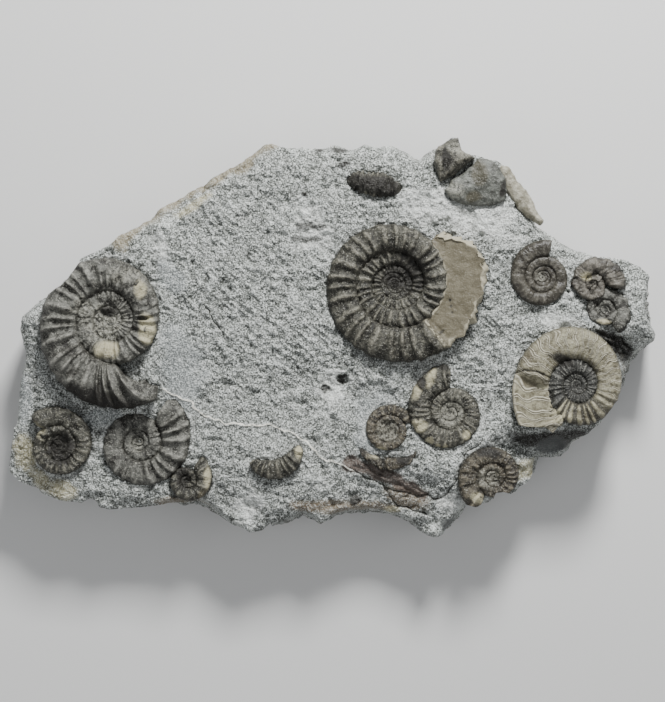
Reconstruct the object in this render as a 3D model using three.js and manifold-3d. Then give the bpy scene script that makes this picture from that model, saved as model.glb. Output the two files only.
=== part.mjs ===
// Ammonite fossil cluster: a slab of grey limestone with about fifteen fossil shells in its face.
// The slab lies on its back. X runs along its length, Y across it, and the fossils face up, +Z.
// All sizes are in millimetres. Places on the face were read off a photograph as column and row.

import * as THREE from 'three';
import { mergeVertices } from 'three/addons/utils/BufferGeometryUtils.js';
import Module from 'manifold-3d';

const wasm = await Module();
wasm.setup();

// Driving dimensions
const SLAB_LENGTH = 181.7;
const FACE_HEIGHT = 22;          // general level of the rock face above the underside
const BED_GAP = 0.4;             // clearance between a fossil and the rock that it lies in
const GRID_STEP = 5.6;           // size of the rock's lumps and facets
const ROUGHNESS = 1.1;           // height of the rock's lumps
const CHAMFER = 6.5;             // how far the underside draws in from the rim
const WHORL_CREST = 0.35;        // height of a whorl above its middle plane, as a share of its width
const RIB_RELIEF = 0.13;         // height of a rib, as a share of the whorl's width
const OPEN_ABOVE = 60;           // level that every cutting shape reaches, clear of the slab

// The photograph's columns and rows that the slab reaches
const LEFT_COLUMN = 8;
const RIGHT_COLUMN = 657;
const TOP_ROW = 136.7;
const BOTTOM_ROW = 538;
const SCALE = SLAB_LENGTH / (RIGHT_COLUMN - LEFT_COLUMN);
const MIDDLE_COLUMN = (LEFT_COLUMN + RIGHT_COLUMN) / 2;
const MIDDLE_ROW = (TOP_ROW + BOTTOM_ROW) / 2;

const at = ([column, row]) => new THREE.Vector2(
  (column - MIDDLE_COLUMN) * SCALE, (MIDDLE_ROW - row) * SCALE);
const radians = THREE.MathUtils.degToRad;

// The slab's rim, anticlockwise from its right end
const RIGHT_LOBE = [[657, 330], [657, 313], [655, 299], [654, 287], [650, 276], [641, 267], [627, 261],
  [616, 258], [606, 257.5], [600, 256.5], [594, 256], [585, 252], [574, 245.5]];
const UPPER_RIGHT_RIM = [[560, 236.5], [549, 228.5], [542, 222], [534.5, 213], [532.5, 204], [524, 192],
  [515, 181], [509.5, 170], [504.5, 166], [497, 162], [492, 160], [484, 158], [476, 157], [467, 153.5]];
const PEAK = [[462.5, 150.5], [460, 142.5], [458, 136.7], [452, 137.2], [442.5, 142.5], [436, 144.5],
  [426.5, 150], [423, 154], [417.5, 153.5]];
const TOP_RIM = [[410, 148], [392, 146], [378, 146.5], [365, 144.5], [351, 148.5], [338, 144], [326, 146.5],
  [313, 147.5], [300, 148], [287, 148.5], [271, 143], [264, 144.5]];
const UPPER_LEFT_RIM = [[259, 149], [248, 158], [237, 165], [225, 172], [213, 178], [202, 185.5],
  [189, 192], [177, 200.5], [162, 206], [150, 216], [137, 226.5], [121, 235.5], [105, 247.5], [93, 253],
  [82, 258], [73, 266], [64, 273], [55, 282], [47, 290], [37, 298], [27, 309], [21, 318]];
const LEFT_RIM = [[20, 330], [23, 341], [27, 351], [26, 361], [22, 374], [20, 382], [18, 400], [17, 420],
  [13, 435], [10, 450], [8, 472], [16.5, 481]];
const LOWER_LEFT_RIM = [[27, 486], [35, 487.5], [46, 495.5], [58, 500], [70, 502.5], [83, 503], [89, 498],
  [95, 499.5], [99, 507], [110, 509], [128, 509], [146, 507], [167, 505], [179, 510.5], [190, 508],
  [206, 513], [222, 520], [233, 526], [251, 532], [262, 531], [270, 523.5], [281, 525]];
const BOTTOM_RIM = [[292, 524], [302, 519], [311, 521.5], [320, 524], [331, 520], [340, 517], [354, 516],
  [368, 514], [385, 515], [399, 518.5], [409, 524], [419.5, 531], [426.5, 535.5], [433, 538],
  [443, 535.5], [452, 530], [457, 523], [466, 513]];
const LOWER_RIGHT_RIM = [[469.5, 507.5], [476.5, 508], [485, 503.5], [494, 498.5], [496.5, 493],
  [503, 492.5], [510, 494], [516, 493], [519.5, 487], [530, 482], [538, 475], [540.5, 464], [543, 459],
  [553.5, 459], [563.5, 458], [572.5, 452], [574.5, 446], [577, 442], [581, 438.5], [588, 434.5],
  [597, 426], [607, 415.5], [615, 404], [624, 395], [630, 386], [638, 371], [638, 363], [646, 351],
  [655.5, 341]];
const RIM = [RIGHT_LOBE, UPPER_RIGHT_RIM, PEAK, TOP_RIM, UPPER_LEFT_RIM, LEFT_RIM, LOWER_LEFT_RIM,
  BOTTOM_RIM, LOWER_RIGHT_RIM].flat().map(at);
const HEART = at([330, 330]);    // the rim can be seen whole from here

// Hollows, ledges and swells of the face: place, reach along and across, turn, height and softness
const FACE_FORMS = [
  { place: [412, 508], reach: [82, 40], turn: -14, height: -2.6, soft: 0.3 },
  { place: [548, 449], reach: [66, 19], turn: 4, height: -6.5, soft: 0.35 },
  { place: [555, 448], reach: [24, 11], turn: 12, height: 2.2, soft: 0.5 },
  { place: [24, 470], reach: [44, 34], turn: 20, height: -2.4, soft: 0.7 },
  { place: [33, 320], reach: [15, 30], turn: -12, height: 1.6, soft: 0.5 },
  { place: [616, 347], reach: [26, 14], turn: 28, height: -5.5, soft: 0.5 },
  { place: [637, 372], reach: [20, 34], turn: -18, height: -4.5, soft: 0.5 },
  { place: [638, 300], reach: [26, 42], turn: 0, height: 1.4, soft: 0.8 },
  { place: [250, 300], reach: [120, 105], turn: 0, height: 1.3, soft: 1 },
  { place: [310, 226], reach: [24, 34], turn: 0, height: -1.2, soft: 0.5 },
  { place: [185, 190], reach: [92, 22], turn: 32, height: -2.8, soft: 0.9 },
  { place: [236, 498], reach: [52, 24], turn: -10, height: -2, soft: 0.7 },
  { place: [340, 384], reach: [20, 14], turn: 0, height: -1.6, soft: 0.8 },
  { place: [492, 250], reach: [44, 60], turn: 20, height: 0.8, soft: 0.9 },
];

// Whole shells. The pole is the middle of the spiral, reach the radius of the outer edge where the shell
// ends, growth the widening in one turn, and hand +1 where the shell opens anticlockwise.
const SHELLS = {
  left_large_ammonite: { pole: [111.5, 320.5], reach: 90.5, end: 308, growth: 2, hand: 1, ribs: 22,
    turns: 3, stretch: [0.98, 1.04], lift: 1.4, lean: [0.01, -0.03], depth: 6, finish: 'dark' },
  centre_large_ammonite: { pole: [394.5, 284.5], reach: 95, end: 50, growth: 1.69, hand: 1, ribs: 27,
    turns: 3, lift: 1.2, lean: [0, -0.01], depth: 6, smooth: 0.25, broken: 0.14, finish: 'dark' },
  lower_left_middle_ammonite: { pole: [139, 442], reach: 58, end: 35, growth: 2.2, hand: 1, ribs: 17,
    lift: -0.2, lean: [-0.02, 0], depth: 5, finish: 'dark' },
  lower_left_small_ammonite: { pole: [59, 445.3], reach: 41.7, end: 135, growth: 1.8, hand: 1, ribs: 14,
    lift: 0.2, lean: [0, 0], depth: 4, finish: 'dark' },
  lower_left_edge_ammonite: { pole: [187, 480], reach: 29, end: 60, growth: 2, hand: 1, ribs: 0,
    lift: -0.8, lean: [0, 0.02], depth: 3.5, finish: 'dark' },
  centre_right_ammonite: { pole: [451, 412.5], reach: 49.5, end: 90, growth: 2, hand: -1, ribs: 18,
    lift: 1, lean: [0.01, 0], depth: 5, finish: 'dark' },
  centre_small_ammonite: { pole: [389, 430], reach: 26, end: 20, growth: 1.9, hand: 1, ribs: 0,
    lift: 0.3, lean: [0, 0], depth: 3, finish: 'dark' },
  upper_right_ammonite: { pole: [542.3, 277.4], reach: 38, end: 75, growth: 1.8, hand: -1, ribs: 12,
    lift: 0.6, lean: [0, 0], depth: 4, finish: 'dark' },
  right_cream_ammonite: { pole: [576, 385], reach: 69.3, end: 215, growth: 2.1, hand: 1, ribs: 20,
    stretch: [1, 1.08], lift: 0.4, lean: [-0.01, 0.01], depth: 5, smooth: 0.16, finish: 'cream' },
  far_right_upper_ammonite: { pole: [592, 284], reach: 35, end: -12, growth: 2.6, hand: -1, ribs: 0,
    lift: 0.9, lean: [0, 0], depth: 3, finish: 'dark' },
  far_right_lower_ammonite: { pole: [604, 310], reach: 29, end: -60, growth: 2, hand: -1, ribs: 0,
    lift: 0, lean: [0, 0], depth: 3.5, finish: 'dark' },
  lower_right_ammonite: { pole: [490, 475], reach: 47, end: 12, growth: 1.9, hand: 1, ribs: 14,
    lift: 0.4, lean: [0, 0.02], depth: 4.5, finish: 'dark' },
};

// Curved pieces of one whorl: radii of their two edges and the angles that they run between
const WHORL_PIECES = {
  bottom_crescent_whorl: { pole: [272, 442], radii: [17, 37], angles: [212, 372], ribs: 10, lift: 0.3,
    depth: 3, finish: 'dark' },
  centre_small_outer_whorl: { pole: [389, 430], radii: [28.5, 39], angles: [214, 322], ribs: 6, lift: 0.2,
    depth: 2, finish: 'dark' },
};

// Pieces at the top rim: their outline, and the height of their back above it
const FRAGMENTS = {
  top_ribbed_fragment: { outline: [[433, 160], [437.5, 146], [452, 139.5], [457, 139], [461, 151],
    [475, 158.5], [463, 168.5], [453, 176], [440, 182], [435, 171]], rise: 2.4, lift: 0.6, depth: 4,
    ridged: 0.5, finish: 'dark' },
  top_smooth_whorl: { outline: [[477, 160], [487, 160.5], [498, 166], [504, 178], [507, 192], [503, 202],
    [489, 207], [466, 206], [451, 200.5], [443, 191], [452, 181], [466, 172]], rise: 2.2, lift: 0.3,
    depth: 4, ridged: 0, finish: 'dark' },
  top_shell_strip: { outline: [[501, 167.5], [508.5, 171], [514.5, 182], [523, 193.5], [531, 205],
    [533, 213.5], [541, 222.5], [531, 217], [519.5, 206.5], [510.5, 193], [503.5, 181]], rise: 1.6,
    lift: 0.4, depth: 3, ridged: 0, finish: 'cream' },
};

const EDGE_ON_SHELL = { place: [374, 185], reach: [31, 11.5], turn: -10, ribs: 11, rise: 3.4, depth: 3 };

const FINISHES = {
  rock: { color: 0x96999a, roughness: 0.9, metalness: 0 },
  dark: { color: 0x59564c, roughness: 0.55, metalness: 0 },
  cream: { color: 0x9c9680, roughness: 0.6, metalness: 0 },
};

// Smooth value noise between -1 and 1, one wave a unit
function noise(x, y, layer) {
  const corner = (column, row) => {
    const value = Math.sin(column * 127.1 + row * 311.7 + layer * 74.7) * 43758.5453;
    return 2 * (value - Math.floor(value)) - 1;
  };
  const column = Math.floor(x);
  const row = Math.floor(y);
  const u = THREE.MathUtils.smoothstep(x - column, 0, 1);
  const v = THREE.MathUtils.smoothstep(y - row, 0, 1);
  const lower = THREE.MathUtils.lerp(corner(column, row), corner(column + 1, row), u);
  const upper = THREE.MathUtils.lerp(corner(column, row + 1), corner(column + 1, row + 1), u);
  return THREE.MathUtils.lerp(lower, upper, v);
}

// Distance from a point of the face to the nearest stretch of the rim
function rimDistance(point) {
  return Math.min(...RIM.map((start, index) => {
    const along = RIM[(index + 1) % RIM.length].clone().sub(start);
    const share = THREE.MathUtils.clamp(point.clone().sub(start).dot(along) / along.lengthSq(), 0, 1);
    return point.distanceTo(start.clone().addScaledVector(along, share));
  }));
}

function formHeight(form, point) {
  const offset = point.clone().sub(at(form.place)).rotateAround(new THREE.Vector2(), -radians(form.turn));
  const far = Math.hypot(offset.x / form.reach[0], offset.y / form.reach[1]) / SCALE;
  return form.height * (1 - THREE.MathUtils.smoothstep(far, 1 - form.soft, 1));
}

// Level of the rock face: lumps in two sizes, the forms above, and a fall towards the rim
function faceLevel(point) {
  const broad = noise(point.x / 23, point.y / 17, 1);
  const lumps = noise(point.x / 7, point.y / 6, 2);
  const forms = FACE_FORMS.reduce((sum, form) => sum + formHeight(form, point), 0);
  const fall = 2.6 * (1 - THREE.MathUtils.smoothstep(rimDistance(point), 0, 6));
  return FACE_HEIGHT + ROUGHNESS * (broad + 0.6 * lumps) + forms - fall;
}

function geometryOf(points, faces) {
  const geometry = new THREE.BufferGeometry();
  geometry.setAttribute('position', new THREE.Float32BufferAttribute(points.flat(), 3));
  geometry.setIndex(faces.flat());
  return geometry;
}

// A closed geometry becomes a solid whose faces point out, whichever way they were wound
function solidOf(geometry) {
  const merged = mergeVertices(geometry, 1e-4);
  const vertProperties = new Float32Array(merged.attributes.position.array);
  const triVerts = new Uint32Array(merged.index.array);
  const corner = (index) => new THREE.Vector3().fromArray(vertProperties, 3 * triVerts[index]);
  let volume = 0;
  for (let index = 0; index < triVerts.length; index += 3) {
    volume += corner(index).dot(corner(index + 1).cross(corner(index + 2)));
  }
  if (volume < 0) triVerts.reverse();
  return new wasm.Manifold(new wasm.Mesh({ numProp: 3, vertProperties, triVerts }));
}

// Cutting can leave crumbs: only the largest body is kept
function largestOf(solid) {
  return solid.decompose().reduce((best, body) => (body.volume() > best.volume() ? body : best));
}

// Faces between two loops of the same number of points, given by the index of each loop's first point
function bandFaces(first, second, count) {
  return Array.from({ length: count }, (_, index) => {
    const next = (index + 1) % count;
    return [first + index, first + next, second + next, first + index, second + next, second + index];
  });
}

function capFaces(loop, first) {
  return THREE.ShapeUtils.triangulateShape(loop, []).map((face) => face.map((index) => first + index));
}

// A closed shape through level loops, capped flat at both ends
function loft(loops) {
  const count = loops[0].loop.length;
  const points = loops.flatMap(({ loop, level }) => loop.map((point) => [point.x, point.y, level]));
  const last = (loops.length - 1) * count;
  const walls = loops.slice(1).flatMap((_, index) => bandFaces(index * count, (index + 1) * count, count));
  const base = capFaces(loops[0].loop, 0).map((face) => [...face].reverse());
  return solidOf(geometryOf(points, [...base, ...walls, ...capFaces(loops.at(-1).loop, last)]));
}

// The rim drawn in towards the heart of the slab, by a distance that changes from point to point
function drawnIn(distances) {
  return RIM.map((point, index) => {
    const inward = HEART.clone().sub(point);
    return point.clone().addScaledVector(inward.normalize(), distances[index]);
  });
}

// The rough broken sides: the rim stands out at a different level at each place
function slabSides() {
  const levels = [4.5, 15];
  const hollows = levels.map((level) => RIM.map((point) => (
    1 + 2.4 * noise(point.x / 8 + level, point.y / 8, level))));
  const outermost = RIM.map((_, index) => Math.min(...hollows.map((hollow) => hollow[index])));
  const rings = levels.map((level, ring) => ({
    level, loop: drawnIn(hollows[ring].map((hollow, index) => hollow - outermost[index])) }));
  const foot = RIM.map((point) => CHAMFER + 2.5 * noise(point.x / 14, point.y / 14, 5));
  return loft([{ level: 0, loop: drawnIn(foot) }, ...rings, { level: OPEN_ABOVE, loop: rings.at(-1).loop }]);
}

// A lumpy face over the whole slab: a grid of shaken points above a plain floor
function lumpyBlock() {
  const columns = Math.ceil((SLAB_LENGTH + 12) / GRID_STEP);
  const rows = Math.ceil(((BOTTOM_ROW - TOP_ROW) * SCALE + 12) / GRID_STEP);
  const across = columns + 1;
  const face = [];
  for (let row = 0; row <= rows; row += 1) {
    for (let column = 0; column <= columns; column += 1) {
      const point = new THREE.Vector2((column - columns / 2) * GRID_STEP, (row - rows / 2) * GRID_STEP);
      const inside = row > 0 && row < rows && column > 0 && column < columns;
      const shake = inside ? 0.27 * GRID_STEP : 0;
      point.x += shake * noise(column * 1.7, row * 1.3, 8);
      point.y += shake * noise(column * 1.7, row * 1.3, 9);
      face.push(point);
    }
  }
  const top = face.map((point) => [point.x, point.y, faceLevel(point)]);
  const floor = face.map((point) => [point.x, point.y, -5]);
  const faces = [];
  for (let row = 0; row < rows; row += 1) {
    for (let column = 0; column < columns; column += 1) {
      const [a, b] = [row * across + column, row * across + column + 1];
      const [c, d] = [b + across, a + across];
      const upper = (row + column) % 2 ? [a, b, c, a, c, d] : [a, b, d, b, c, d];
      faces.push(upper, [...upper].reverse().map((index) => index + top.length));
    }
  }
  const edge = [];
  for (let column = 0; column < columns; column += 1) edge.push(column);
  for (let row = 0; row < rows; row += 1) edge.push(row * across + columns);
  for (let column = columns; column > 0; column -= 1) edge.push(rows * across + column);
  for (let row = rows; row > 0; row -= 1) edge.push(row * across);
  edge.forEach((start, index) => {
    const next = edge[(index + 1) % edge.length];
    faces.push([start + top.length, next + top.length, next, start + top.length, next, start]);
  });
  return solidOf(geometryOf([...top, ...floor], faces));
}

// A loop moved outwards by a distance, square to its own line
function offsetLoop(loop, distance) {
  const turned = THREE.ShapeUtils.isClockWise(loop) ? [...loop].reverse() : loop;
  return turned.map((point, index) => {
    const before = point.clone().sub(turned.at(index - 1)).normalize();
    const after = turned[(index + 1) % turned.length].clone().sub(point).normalize();
    const outward = new THREE.Vector2(before.y + after.y, -before.x - after.x).normalize();
    const square = Math.max(0.45, outward.x * before.y - outward.y * before.x);
    return point.clone().addScaledVector(outward, distance / square);
  });
}

// The bed of a fossil: its outline with clearance, a shallow cone below and open above
function bedOf({ outline, middle, plane, depth }) {
  const wide = offsetLoop(outline, BED_GAP);
  const count = wide.length;
  const points = [
    ...wide.map((point) => [point.x, point.y, OPEN_ABOVE]),
    ...wide.map((point) => [point.x, point.y, plane(point) - BED_GAP]),
    [middle.x, middle.y, plane(middle) - depth - BED_GAP],
  ];
  const bottom = wide.map((_, index) => [count + index, count + (index + 1) % count, 2 * count]);
  const lid = capFaces(wide, 0).map((face) => [...face].reverse());
  return solidOf(geometryOf(points, [...lid, ...bandFaces(0, count, count), ...bottom]));
}

function tiltedPlane(middle, lift, lean = [0, 0]) {
  const level = faceLevel(middle) + lift;
  return (point) => level + lean[0] * (point.x - middle.x) + lean[1] * (point.y - middle.y);
}

// A coiled shell. Each column of points runs across one whorl, from the seam with the turn before to the
// seam with the turn after, and the two turns share the points of the seam.
function coiledShell(shell) {
  const middle = at(shell.pole);
  const plane = tiltedPlane(middle, shell.lift, shell.lean);
  const perTurn = shell.ribs > 0 ? 2 * shell.ribs : 22;
  const columns = (shell.turns ?? 2) * perTurn;
  const across = shell.ribs > 0 ? [0.34, 0.74, 1] : [0.5, 1];
  const [stretchX, stretchY] = shell.stretch ?? [1, 1];
  const smooth = shell.smooth ?? 0;
  const broken = shell.broken ?? 0;
  const points = [];
  const ids = [];
  const outline = [];
  const add = (point, height) => points.push([point.x, point.y, plane(point) + height]) - 1;

  const centre = add(middle, WHORL_CREST * shell.reach * SCALE * 0.06);
  for (let column = 0; column <= columns; column += 1) {
    const turnsLeft = (columns - column) / perTurn;
    const angle = radians(shell.end) - shell.hand * 2 * Math.PI * turnsLeft;
    const radius = shell.reach * SCALE * shell.growth ** -turnsLeft;
    const width = radius * (1 - 1 / shell.growth);
    const ribbed = shell.ribs > 0 && turnsLeft >= smooth && column > perTurn ? 1 : 0;
    const rib = ribbed * (column % 2 ? -0.5 : 0.5);
    const lost = broken * THREE.MathUtils.smoothstep(1 - turnsLeft, 0.86, 1);
    const outer = radius * (1 - lost) * (1 + 0.022 * rib);
    const inner = column < perTurn ? 0 : radius / shell.growth;
    const outerTurn = THREE.MathUtils.smoothstep(1 - turnsLeft, -0.12, 0);
    const mouth = column === columns ? 0.45 : 1;
    ids.push(across.map((share) => {
      const reach = THREE.MathUtils.lerp(inner, outer, share);
      const point = new THREE.Vector2(reach * stretchX * Math.cos(angle), reach * stretchY * Math.sin(angle));
      point.add(middle);
      if (share === 1) {
        if (turnsLeft <= 1 && (ribbed === 0 || column % 2 === 0)) outline.push(point);
        return add(point, WHORL_CREST * width * 0.4 * (1 - outerTurn));
      }
      const arch = Math.sin(Math.PI * (0.22 + 0.62 * share));
      return add(point, mouth * width * (WHORL_CREST * arch + RIB_RELIEF * rib));
    }));
  }

  const faces = [];
  const seam = (column) => (column < perTurn ? centre : ids[column - perTurn].at(-1));
  for (let column = 0; column < columns; column += 1) {
    const [here, next] = [ids[column], ids[column + 1]];
    if (column === perTurn - 1) {
      const start = [centre, ...ids[0]];
      start.slice(1).forEach((point, index) => faces.push([here[0], point, start[index]]));
      faces.push([here[0], next[0], start.at(-1)]);
    } else {
      if (column >= perTurn) faces.push([seam(column), here[0], seam(column + 1)]);
      faces.push([seam(column + 1), here[0], next[0]]);
    }
    for (let step = 1; step < across.length; step += 1) {
      faces.push([here[step - 1], here[step], next[step]], [here[step - 1], next[step], next[step - 1]]);
    }
  }

  const rim = ids.slice(columns - perTurn).map((column) => column.at(-1));
  rim.push(...ids[columns].slice(0, -1).reverse());
  const lowest = add(middle, -shell.depth);
  rim.forEach((id, index) => faces.push([id, lowest, rim[(index + 1) % rim.length]]));
  return { solid: solidOf(geometryOf(points, faces)), bed: bedOf({ outline, middle, plane, ...shell }) };
}

// A curved piece of one whorl, tapering to both ends
function whorlPiece(piece) {
  const pole = at(piece.pole);
  const [inner, outer] = piece.radii.map((radius) => radius * SCALE);
  const columns = 2 * piece.ribs;
  const polar = (radius, angle) => new THREE.Vector2(
    pole.x + radius * Math.cos(angle), pole.y + radius * Math.sin(angle));
  const angleAt = (column) => radians(
    THREE.MathUtils.lerp(piece.angles[0], piece.angles[1], column / columns));
  const midRadius = (inner + outer) / 2;
  const middle = polar(midRadius, angleAt(columns / 2));
  const plane = tiltedPlane(middle, piece.lift);
  const points = [];
  const add = (point, height) => points.push([point.x, point.y, plane(point) + height]) - 1;
  const tips = [0, columns].map((column) => polar(midRadius, angleAt(column)));
  const [firstTip, lastTip] = tips.map((tip) => add(tip, 0));
  const [outerEdge, innerEdge] = [[], []];
  const sections = [];
  for (let column = 1; column < columns; column += 1) {
    const angle = angleAt(column);
    const half = (outer - inner) / 2 * Math.sin(Math.PI * column / columns) ** 0.45;
    const rib = half * RIB_RELIEF * 2 * (column % 2 ? -0.5 : 0.5);
    const [near, far] = [polar(midRadius - half, angle), polar(midRadius + half, angle)];
    innerEdge.push(near);
    outerEdge.push(far);
    sections.push([
      add(near, 0),
      add(polar(midRadius - 0.45 * half, angle), 0.75 * half + rib),
      add(polar(midRadius + 0.45 * half, angle), 0.75 * half + rib),
      add(far, 0),
      add(polar(midRadius, angle), -piece.depth),
    ]);
  }
  const faces = [];
  const sides = sections[0].length;
  for (let side = 0; side < sides; side += 1) {
    const next = (side + 1) % sides;
    faces.push([firstTip, sections[0][next], sections[0][side]]);
    faces.push([lastTip, sections.at(-1)[side], sections.at(-1)[next]]);
    sections.slice(1).forEach((section, index) => {
      const before = sections[index];
      faces.push([before[side], before[next], section[next]], [before[side], section[next], section[side]]);
    });
  }
  const outline = offsetLoop([tips[0], ...outerEdge, tips[1], ...innerEdge.reverse()], BED_GAP);
  const trough = outline.map((point) => point.clone());
  const bed = loft([
    { loop: trough, level: plane(middle) - piece.depth - BED_GAP },
    { loop: outline, level: OPEN_ABOVE }]);
  return { solid: solidOf(geometryOf(points, faces)), bed };
}

// A broken piece with a rounded back, from its outline
function fragment(piece) {
  const outline = piece.outline.map(at);
  const middle = outline.reduce((sum, point) => sum.add(point), new THREE.Vector2());
  middle.divideScalar(outline.length);
  const plane = tiltedPlane(middle, piece.lift);
  return backedPiece({ ...piece, outline, middle, plane });
}

// An outline with a back that rises inside it and a cone below; every other point of the back may drop
function backedPiece({ outline, middle, plane, rise, depth, ridged }) {
  const count = outline.length;
  const ring = (share, height) => outline.map((point, index) => {
    const place = middle.clone().lerp(point, share);
    return [place.x, place.y, plane(place) + height * (index % 2 ? 1 - ridged : 1)];
  });
  const points = [
    [middle.x, middle.y, plane(middle) + rise], ...ring(0.55, rise), ...ring(0.86, 0.7 * rise),
    ...outline.map((point) => [point.x, point.y, plane(point)]),
    [middle.x, middle.y, plane(middle) - depth],
  ];
  const faces = [0, 1].flatMap((band) => bandFaces(1 + (band + 1) * count, 1 + band * count, count));
  const edge = 1 + 2 * count;
  outline.forEach((_, index) => {
    const next = (index + 1) % count;
    faces.push([0, 1 + index, 1 + next], [edge + count, edge + next, edge + index]);
  });
  return { solid: solidOf(geometryOf(points, faces)), bed: bedOf({ outline, middle, plane, depth }) };
}

// A shell that lies on edge, so that only its ribbed back shows
function edgeOnShell(shell) {
  const middle = at(shell.place);
  const turn = radians(shell.turn);
  const count = 2 * shell.ribs;
  const outline = Array.from({ length: count }, (_, index) => {
    const angle = 2 * Math.PI * index / count;
    const [x, y] = [shell.reach[0] * Math.cos(angle), shell.reach[1] * Math.sin(angle)];
    return new THREE.Vector2(x, y).multiplyScalar(SCALE).rotateAround(new THREE.Vector2(), turn).add(middle);
  });
  return backedPiece({ outline, middle, plane: tiltedPlane(middle, -0.6), ridged: 0.28, ...shell });
}

function partMesh(name, solid, finish) {
  const { numProp, vertProperties, triVerts } = solid.getMesh();
  const positions = [];
  for (let index = 0; index < vertProperties.length; index += numProp) {
    positions.push(...vertProperties.subarray(index, index + 3));
  }
  const geometry = new THREE.BufferGeometry();
  geometry.setAttribute('position', new THREE.Float32BufferAttribute(positions, 3));
  geometry.setIndex([...triVerts]);
  geometry.computeVertexNormals();
  const mesh = new THREE.Mesh(geometry, new THREE.MeshStandardMaterial(FINISHES[finish]));
  mesh.name = name;
  return mesh;
}

const fossils = {};
Object.entries(SHELLS).forEach(([name, shell]) => { fossils[name] = { ...coiledShell(shell), ...shell }; });
Object.entries(WHORL_PIECES).forEach(([name, piece]) => {
  fossils[name] = { ...whorlPiece(piece), ...piece };
});
Object.entries(FRAGMENTS).forEach(([name, piece]) => { fossils[name] = { ...fragment(piece), ...piece }; });
fossils.edge_on_ammonite = { ...edgeOnShell(EDGE_ON_SHELL), finish: 'dark' };

// Where two fossils meet, the first of each pair lies over the second
const OVERLAPS = [
  ['left_large_ammonite', 'lower_left_middle_ammonite'],
  ['left_large_ammonite', 'lower_left_small_ammonite'],
  ['left_large_ammonite', 'lower_left_edge_ammonite'],
  ['lower_left_middle_ammonite', 'lower_left_small_ammonite'],
  ['lower_left_middle_ammonite', 'lower_left_edge_ammonite'],
  ['centre_right_ammonite', 'centre_small_ammonite'],
  ['centre_right_ammonite', 'centre_small_outer_whorl'],
  ['centre_right_ammonite', 'lower_right_ammonite'],
  ['centre_small_ammonite', 'centre_small_outer_whorl'],
  ['far_right_upper_ammonite', 'far_right_lower_ammonite'],
  ['right_cream_ammonite', 'far_right_lower_ammonite'],
  ['right_cream_ammonite', 'far_right_upper_ammonite'],
  ['right_cream_ammonite', 'lower_right_ammonite'],
  ['top_smooth_whorl', 'top_ribbed_fragment'],
  ['top_smooth_whorl', 'top_shell_strip'],
];
OVERLAPS.forEach(([upper, lower]) => {
  fossils[lower].solid = fossils[lower].solid.subtract(fossils[upper].bed);
});

const RIM_MARGIN = 0.5;          // fossils at the rim stop this far inside it
const withinRim = loft([
  { loop: drawnIn(RIM.map(() => RIM_MARGIN)), level: 1 },
  { loop: drawnIn(RIM.map(() => RIM_MARGIN)), level: OPEN_ABOVE + 1 }]);

let rock = lumpyBlock().intersect(slabSides());
Object.values(fossils).forEach(({ bed }) => { rock = rock.subtract(bed); });

const cluster = new THREE.Group();
cluster.add(partMesh('rock', largestOf(rock), 'rock'));
Object.entries(fossils).forEach(([name, { solid, finish }]) => {
  cluster.add(partMesh(name, largestOf(solid.intersect(withinRim)), finish));
});

// The origin is below the middle of the cluster, at the level of its underside
const box = new THREE.Box3().setFromObject(cluster);
const middle = box.getCenter(new THREE.Vector3());
cluster.position.set(-middle.x, -middle.y, -box.min.z);

export default cluster;
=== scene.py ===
"""Ammonite fossil cluster: a slab of grey limestone with fossil shells in its face.

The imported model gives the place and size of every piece. Each operator makes one piece, or a group of like
pieces, over it. Places on the face are given as column and row of the photograph, lengths in metres.
"""

import functools
import itertools
import math

import bpy
import numpy as np
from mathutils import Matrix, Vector
from mathutils.bvhtree import BVHTree
from mathutils.geometry import delaunay_2d_cdt


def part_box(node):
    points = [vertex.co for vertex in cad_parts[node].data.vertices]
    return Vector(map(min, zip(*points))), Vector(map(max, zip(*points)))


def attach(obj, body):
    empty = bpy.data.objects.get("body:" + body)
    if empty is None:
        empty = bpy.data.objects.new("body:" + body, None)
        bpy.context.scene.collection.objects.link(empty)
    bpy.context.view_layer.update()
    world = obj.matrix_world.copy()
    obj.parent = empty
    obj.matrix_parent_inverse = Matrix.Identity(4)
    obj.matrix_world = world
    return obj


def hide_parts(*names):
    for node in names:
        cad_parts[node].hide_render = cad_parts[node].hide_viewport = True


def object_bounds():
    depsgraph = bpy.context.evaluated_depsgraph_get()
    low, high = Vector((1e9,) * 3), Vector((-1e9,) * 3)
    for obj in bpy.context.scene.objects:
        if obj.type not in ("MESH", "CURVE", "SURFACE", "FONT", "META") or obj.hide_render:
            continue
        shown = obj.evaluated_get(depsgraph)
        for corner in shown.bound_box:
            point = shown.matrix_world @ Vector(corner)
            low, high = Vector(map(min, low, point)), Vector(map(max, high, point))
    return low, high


bl_info = {
    "name": "Ammonite Fossil Cluster",
    "version": (1, 0, 0),
    "blender": (4, 5, 0),
    "location": "View3D > Sidebar > Fossil",
    "description": "Builds the rock, the shells and the stage of an ammonite fossil cluster",
    "category": "Object",
}

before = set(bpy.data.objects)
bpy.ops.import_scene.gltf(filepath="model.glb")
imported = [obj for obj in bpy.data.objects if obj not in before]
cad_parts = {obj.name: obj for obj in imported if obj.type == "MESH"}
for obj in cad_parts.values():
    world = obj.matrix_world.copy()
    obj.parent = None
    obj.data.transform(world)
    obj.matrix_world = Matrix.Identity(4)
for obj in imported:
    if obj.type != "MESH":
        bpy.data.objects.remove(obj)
CAD_LOW, CAD_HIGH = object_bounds()

MM = 0.001
TAU = 2 * math.pi

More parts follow.
